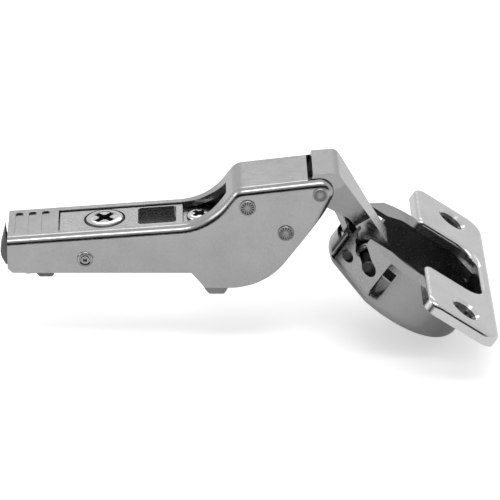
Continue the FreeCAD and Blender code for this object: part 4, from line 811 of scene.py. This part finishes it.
class HINGE_OT_sheet_metal(bpy.types.Operator):
    """Give the arm, carrier, links, cup plate, cam and catch their finish"""
    bl_idname = "hinge.sheet_metal"
    bl_label = "Finish the sheet metal"

    def execute(self, context):
        looks = finishes()
        for node, name in (
            ("arm_shell", "Satin nickel arm"),
            ("carrier", "Carrier nickel"),
            ("outer_link", "Satin nickel link"),
            ("inner_link", "Satin nickel link"),
            ("cup_plate", "Satin nickel plate"),
            ("depth_cam", "Bright screw plate"),
            ("rear_catch", "Dark catch steel"),
        ):
            dress(node, looks[name])
        return {"FINISHED"}


class HINGE_OT_pins(bpy.types.Operator):
    """Make the pins of the arm and the cup with their pressed ends"""
    bl_idname = "hinge.pins"
    bl_label = "Make the pins"

    def execute(self, context):
        looks = finishes()
        sizes = context.scene.hinge_sizes
        shade_of_dish = looks["Recess shade"]
        stars = star_ribs_tree()
        for node, slim in ARM_PINS:
            head, end = self.reach(node)
            soft = (end - WALL) * 0.3
            rim = [
                (head - sizes.rim_width + soft * 0.4, end), (head - soft, end), (head, end - soft),
                (head, WALL + soft), (head - soft, WALL), (head - slim, WALL),
            ]
            self.star_pin(node, "arm", rim, stars, (looks["Matt pin steel"], shade_of_dish), sizes)
        for node in CUP_PINS:
            head, end = self.reach(node)
            face = end - sizes.rib_height
            rim = [(head - sizes.rim_width, end), (head - sizes.rib_height, end), (head, face)]
            self.star_pin(node, "cup", rim, stars, (looks["Oiled pin steel"], shade_of_dish), sizes)
        self.eyelet("catch_pin", looks["Satin nickel arm"], sizes.pin_edge)
        return {"FINISHED"}

    def reach(self, node):
        # Radius of a pin and the half of its length
        return extent(node).x / 2, extent(node).y / 2

    def place(self, node, mesh, material, body):
        mesh.transform(Matrix.Translation(middle(node)) @ LIE_ACROSS)
        finish_piece(node + "_turned", mesh, material, body, (node,))

    def star_pin(self, node, body, rim, stars, steel, sizes):
        # Turned pin with a star of ribs in a dish in both ends
        head, end = self.reach(node)
        dish = head - sizes.rim_width
        face = end - sizes.rib_height
        hub = sizes.star_hub
        boss = end - sizes.rib_height * 0.1
        half = [(0, boss), (hub, boss), (hub, face), (dish, face)] + rim
        turned = painted(revolve(mirrored(half)), steel, 0)
        for side in turned.polygons:
            spot = side.center
            level_face = abs(side.normal.z) > 0.9 and math.hypot(spot.x, spot.y) < dish
            if level_face and abs(spot.z) < end - sizes.rib_height / 2:
                side.material_index = 1
        meshes = [turned]
        for way in (-1, 1):
            ribs = grown(stars, {
                "Ribs": sizes.head_ribs, "Inner radius": hub * 0.97, "Outer radius": dish,
                "Rib width": sizes.rib_width, "Rib height": sizes.rib_height,
            }, steel[0])
            ribs.transform(Matrix.Translation((0, 0, way * (end - sizes.rib_height * 0.5))))
            meshes.append(painted(ribs, steel, 0))
        whole = join(meshes, node + "_turned", steel)
        self.place(node, whole, None, body)

    def eyelet(self, node, metal, soft):
        # Catch's pin: a round rim, a groove inside it and a dimple in the middle
        head, end = self.reach(node)
        half = [(radius * MM, end - depth * MM) for radius, depth in EYELET]
        half += [
            (head - soft, end - soft * 2), (head, WALL + soft * 1.25), (head - soft, WALL),
            (head - soft * 5, WALL),
        ]
        self.place(node, revolve(mirrored(half)), metal, "arm")


class HINGE_OT_screws(bpy.types.Operator):
    """Make the depth screw and the side screw with their cross recesses and thread"""
    bl_idname = "hinge.screws"
    bl_label = "Make the screws"

    def execute(self, context):
        looks = finishes()
        sizes = context.scene.hinge_sizes
        both = (looks["Bright screw plate"], looks["Recess shade"])
        self.depth_screw(sizes, both)
        self.side_screw(sizes, both)
        return {"FINISHED"}

    def crown(self, head, top, steps, underside):
        # Head of a screw from its underside up, each step in from its edge and down from its top
        rise = [(head - inward * MM, top - down * MM) for inward, down in steps]
        return [(head, underside)] + rise

    def depth_screw(self, sizes, both):
        place = Matrix.Translation(JOINTS["depth_turn"]) @ SEAT_TURN
        head, foot, top = screw_size("depth_screw", place)
        shank, underside = sizes.depth_shank, sizes.head_seat
        stem = [(0, foot), (shank, foot), (shank, underside)]
        middle_of_head = (0, top - 0.1 * MM)
        turned = revolve(stem + self.crown(head, top, DEPTH_CROWN, underside) + [middle_of_head], 96)
        painted(turned, both, 0)
        # The head's side faces take the recess material as well: painted shade along the head's rim
        for side in turned.polygons:
            if abs(side.normal.z) < 0.8 and side.center.z < top - 0.3 * MM:
                side.material_index = 1
        outline = cross_outline(sizes.recess_span, sizes.recess_wing)
        recess = prism(outline, top - sizes.recess_depth, top + OVER, 0.72)
        whole = cut(turned, painted(recess, both, 1))
        whole.transform(place)
        finish_piece("depth_screw_turned", whole, None, "depth_adjuster", ("depth_screw",))

    def side_screw(self, sizes, both):
        place = Matrix.Translation(JOINTS["side_turn"]) @ SEAT_TURN
        head, foot, top = screw_size("side_screw", place)
        shank, underside, tip = sizes.side_shank, sizes.head_seat, sizes.screw_tip
        core = shank - sizes.thread_height
        stem = [
            (0, foot), (core - tip, foot), (core, foot + tip), (core, -0.2 * MM), (shank, 0),
            (shank, underside),
        ]
        turned = revolve(stem + self.crown(head, top, SIDE_CROWN, underside) + [(0, top)], 72)
        outline = cross_outline(sizes.side_span, sizes.recess_wing * 0.85)
        recess = prism(outline, top - sizes.side_depth, top + OVER, 0.6)
        plain = cut(painted(turned, both, 0), painted(recess, both, 1))
        start = foot + sizes.thread_start
        run = -sizes.thread_end - start
        thread = grown(thread_tree(), {
            "Steps a turn": 36, "Turns": run / sizes.thread_pitch, "Height": run, "Sides": 6,
            "Helix radius": core + sizes.thread_height * 0.4, "Ridge radius": sizes.thread_height * 0.6,
        }, both[0])
        thread.transform(Matrix.Translation((0, 0, start)))
        whole = join([plain, painted(thread, both, 0)], "side_screw_turned", both)
        whole.transform(place)
        finish_piece("side_screw_turned", whole, None, "side_adjuster", ("side_screw",))


class HINGE_OT_springs(bpy.types.Operator):
    """Give the cup's two closing springs and the catch's spring their wire finish"""
    bl_idname = "hinge.springs"
    bl_label = "Finish the springs"

    def execute(self, context):
        wire = finishes()["Spring wire"]
        for node in ("cup_spring_near", "cup_spring_far", "catch_spring"):
            dress(node, wire)
        return {"FINISHED"}


class HINGE_OT_pot(bpy.types.Operator):
    """Make the drawn pot with the long slots over its stub pins"""
    bl_idname = "hinge.pot"
    bl_label = "Make the pot"

    def execute(self, context):
        sizes = context.scene.hinge_sizes
        pin = POT_FRAME.inverted() @ middle("stub_pin_near")
        first = Vector((pin.x, pin.z))
        last = first + Vector((-sizes.slot_back, sizes.slot_rise))
        slot = prism(bar_outline(first, last, sizes.slot_half), -POT_RADIUS, POT_RADIUS)
        slot.transform(POT_FRAME @ LIE_ACROSS)
        whole = cut(copy_of("cup_pot"), slot)
        drawn = finishes()["Drawn nickel pot"]
        finish_piece("cup_pot_drawn", whole, drawn, "cup", ("cup_pot",))
        return {"FINISHED"}


class HINGE_OT_hook(bpy.types.Operator):
    """Make the front hook with its slanted tip"""
    bl_idname = "hinge.hook"
    bl_label = "Make the front hook"

    def execute(self, context):
        sizes = context.scene.hinge_sizes
        low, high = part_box("front_hook")
        tip = low.z - sizes.hook_tip
        slant = sizes.hook_slant
        outline = [
            (low.x, high.z), (high.x, high.z), (high.x, tip + slant * 1.6), (high.x - slant, tip),
            (low.x + slant * 1.3, tip), (low.x, tip + slant * 1.6),
        ]
        hook = prism(outline, -high.y, high.y)
        hook.transform(LIE_ACROSS)
        whole = changed(hook, "BEVEL", width=sizes.hook_edge, segments=2, limit_method="ANGLE",
                        angle_limit=math.radians(40))
        looks = finishes()
        finish_piece("front_hook_formed", whole, looks["Hook nickel"], "arm", ("front_hook",))
        return {"FINISHED"}


class HINGE_OT_button(bpy.types.Operator):
    """Make the release button with its grip grooves"""
    bl_idname = "hinge.button"
    bl_label = "Make the release button"

    def execute(self, context):
        sizes = context.scene.hinge_sizes
        plastic = finishes()["Grained plastic"]
        low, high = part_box("release_button")
        first = Vector((low.x, 0, low.z + sizes.button_crest))
        run = Vector((low.x + sizes.button_lean, 0, high.z)) - first
        grooves = grown(groove_tree(), {
            "Grooves": sizes.button_grooves, "Spacing": run.length / sizes.button_grooves,
            "Length": extent("release_button").y * 1.2, "Radius": sizes.groove_radius,
        }, plastic)
        lean = Vector((0, 0, 1)).rotation_difference(run).to_matrix().to_4x4()
        across = Matrix.Rotation(math.pi / 2, 4, "Z")
        grooves.transform(Matrix.Translation(first) @ lean @ across)
        whole = cut(copy_of("release_button"), grooves)
        finish_piece("release_button_ribbed", whole, plastic, "catch", ("release_button",))
        return {"FINISHED"}


class HINGE_OT_stage(bpy.types.Operator):
    """Set out the pale floor, the soft lights and the camera"""
    bl_idname = "hinge.stage"
    bl_label = "Set the stage"

    def execute(self, context):
        scene = context.scene
        stage = scene.hinge_stage
        self.floor(stage)
        self.world(scene, stage)
        self.lamps(stage)
        self.camera(scene, stage)
        scene.view_settings.view_transform = "Standard"
        return {"FINISHED"}

    def floor(self, stage):
        half = stage.floor_size / 2
        height = CAD_BOX[0].z - stage.floor_gap
        corners = ((-half, -half, height), (half, -half, height), (half, half, height), (-half, half, height))
        form = bmesh.new()
        form.faces.new([form.verts.new(corner) for corner in corners])
        mesh = bpy.data.meshes.new("floor")
        form.to_mesh(mesh)
        form.free()
        tree, shader, material = new_material("Pale paper")
        place = tree.nodes.new("ShaderNodeTexCoord")
        fibres = noise(tree, place.outputs["Object"], 900.0, 3.0)
        paper = blended(tree, fibres, "Fac", shaded(stage.floor_colour, 1), shaded(stage.floor_colour, 0.985))
        link(tree, paper, "Result", shader, "Base Color")
        shader.inputs["Roughness"].default_value = 0.9
        shader.inputs["Specular IOR Level"].default_value = 0.0
        path = tree.nodes.new("ShaderNodeLightPath")
        seen = maths(tree, "MULTIPLY", (path, "Is Camera Ray"), stage.floor_lift)
        mirrored = maths(tree, "MULTIPLY_ADD", (path, "Is Glossy Ray"), stage.mirror_lift, (seen, 0))
        passed = maths(tree, "MULTIPLY_ADD", (path, "Is Transmission Ray"), stage.mirror_lift, (mirrored, 0))
        white = tree.nodes.new("ShaderNodeEmission")
        link(tree, passed, 0, white, "Strength")
        both = tree.nodes.new("ShaderNodeAddShader")
        link(tree, shader, "BSDF", both, 0)
        link(tree, white, "Emission", both, 1)
        link(tree, both, "Shader", tree.nodes["Material Output"], "Surface")
        mesh.materials.append(material)
        floor = add_object("floor", mesh)

    def world(self, scene, stage):
        # Soft room: bright behind and above, dark on the camera's side
        world = bpy.data.worlds.new("Studio")
        scene.world = world
        world.use_nodes = True
        tree = world.node_tree
        sky = tree.nodes["Background"]
        place = tree.nodes.new("ShaderNodeTexCoord")
        parts = tree.nodes.new("ShaderNodeSeparateXYZ")
        link(tree, place, "Generated", parts, "Vector")
        front = ramp(tree, parts, "Y", *FRONT_RAMP, smooth=True)
        above = ramp(tree, parts, "Z", *HIGH_RAMP, smooth=True)
        room = maths(tree, "MAXIMUM", (front, "Result"), (above, "Result"))
        path = tree.nodes.new("ShaderNodeLightPath")
        seen = maths(tree, "MULTIPLY", (path, "Is Camera Ray"), SEEN_LEVEL)
        brightest = maths(tree, "MAXIMUM", (room, 0), (seen, 0))
        link(tree, brightest, 0, sky, "Color")
        sky.inputs["Strength"].default_value = stage.room_light

    def lamps(self, stage):
        for name, place, width, depth, power in LAMPS:
            lamp = bpy.data.lights.new(name, "AREA")
            lamp.shape = "RECTANGLE"
            lamp.size = width
            lamp.size_y = depth
            lamp.energy = power * stage.lamp_light
            thing = bpy.data.objects.new(name, lamp)
            bpy.context.scene.collection.objects.link(thing)
            thing.location = place
            thing.rotation_mode = "QUATERNION"
            thing.rotation_quaternion = (AIM - place).to_track_quat("-Z", "Y")

    def camera(self, scene, stage):
        data = bpy.data.cameras.new("Camera")
        data.lens = stage.lens
        data.sensor_width = 36
        data.clip_start = 0.01
        data.clip_end = 20
        camera = bpy.data.objects.new("Camera", data)
        scene.collection.objects.link(camera)
        flat = math.cos(stage.elevation)
        across = math.sin(stage.azimuth) * flat
        back = Vector((across, -math.cos(stage.azimuth) * flat, math.sin(stage.elevation)))
        camera.location = Vector(stage.target) + back * stage.distance
        camera.rotation_mode = "QUATERNION"
        roll = Quaternion((0, 0, 1), stage.roll)
        camera.rotation_quaternion = (-back).to_track_quat("-Z", "Y") @ roll
        scene.camera = camera


class HINGE_PT_panel(bpy.types.Panel):
    """Lists the steps and the settings of the hinge"""
    bl_idname = "HINGE_PT_panel"
    bl_label = "Cranked cup hinge"
    bl_space_type = "VIEW_3D"
    bl_region_type = "UI"
    bl_category = "Hinge"

    def draw(self, context):
        for step in STEPS:
            self.layout.operator(step.bl_idname)
        for group in (context.scene.hinge_sizes, context.scene.hinge_finish, context.scene.hinge_stage):
            box = self.layout.box()
            for name in group.__annotations__:
                box.prop(group, name)


GROUPS = (HingeSizes, HingeFinish, HingeStage)
STEPS = (
    HINGE_OT_sheet_metal, HINGE_OT_pins, HINGE_OT_screws, HINGE_OT_springs, HINGE_OT_pot, HINGE_OT_hook,
    HINGE_OT_button, HINGE_OT_stage,
)


def register():
    for item in GROUPS + STEPS + (HINGE_PT_panel,):
        bpy.utils.register_class(item)
    bpy.types.Scene.hinge_sizes = PointerProperty(type=HingeSizes)
    bpy.types.Scene.hinge_finish = PointerProperty(type=HingeFinish)
    bpy.types.Scene.hinge_stage = PointerProperty(type=HingeStage)


def unregister():
    del bpy.types.Scene.hinge_sizes
    del bpy.types.Scene.hinge_finish
    del bpy.types.Scene.hinge_stage
    for item in reversed(GROUPS + STEPS + (HINGE_PT_panel,)):
        bpy.utils.unregister_class(item)


def main():
    register()
    bpy.ops.hinge.sheet_metal()
    bpy.ops.hinge.pins()
    bpy.ops.hinge.screws()
    bpy.ops.hinge.springs()
    bpy.ops.hinge.pot()
    bpy.ops.hinge.hook()
    bpy.ops.hinge.button()
    bpy.ops.hinge.stage()


if __name__ == "__main__":
    main()
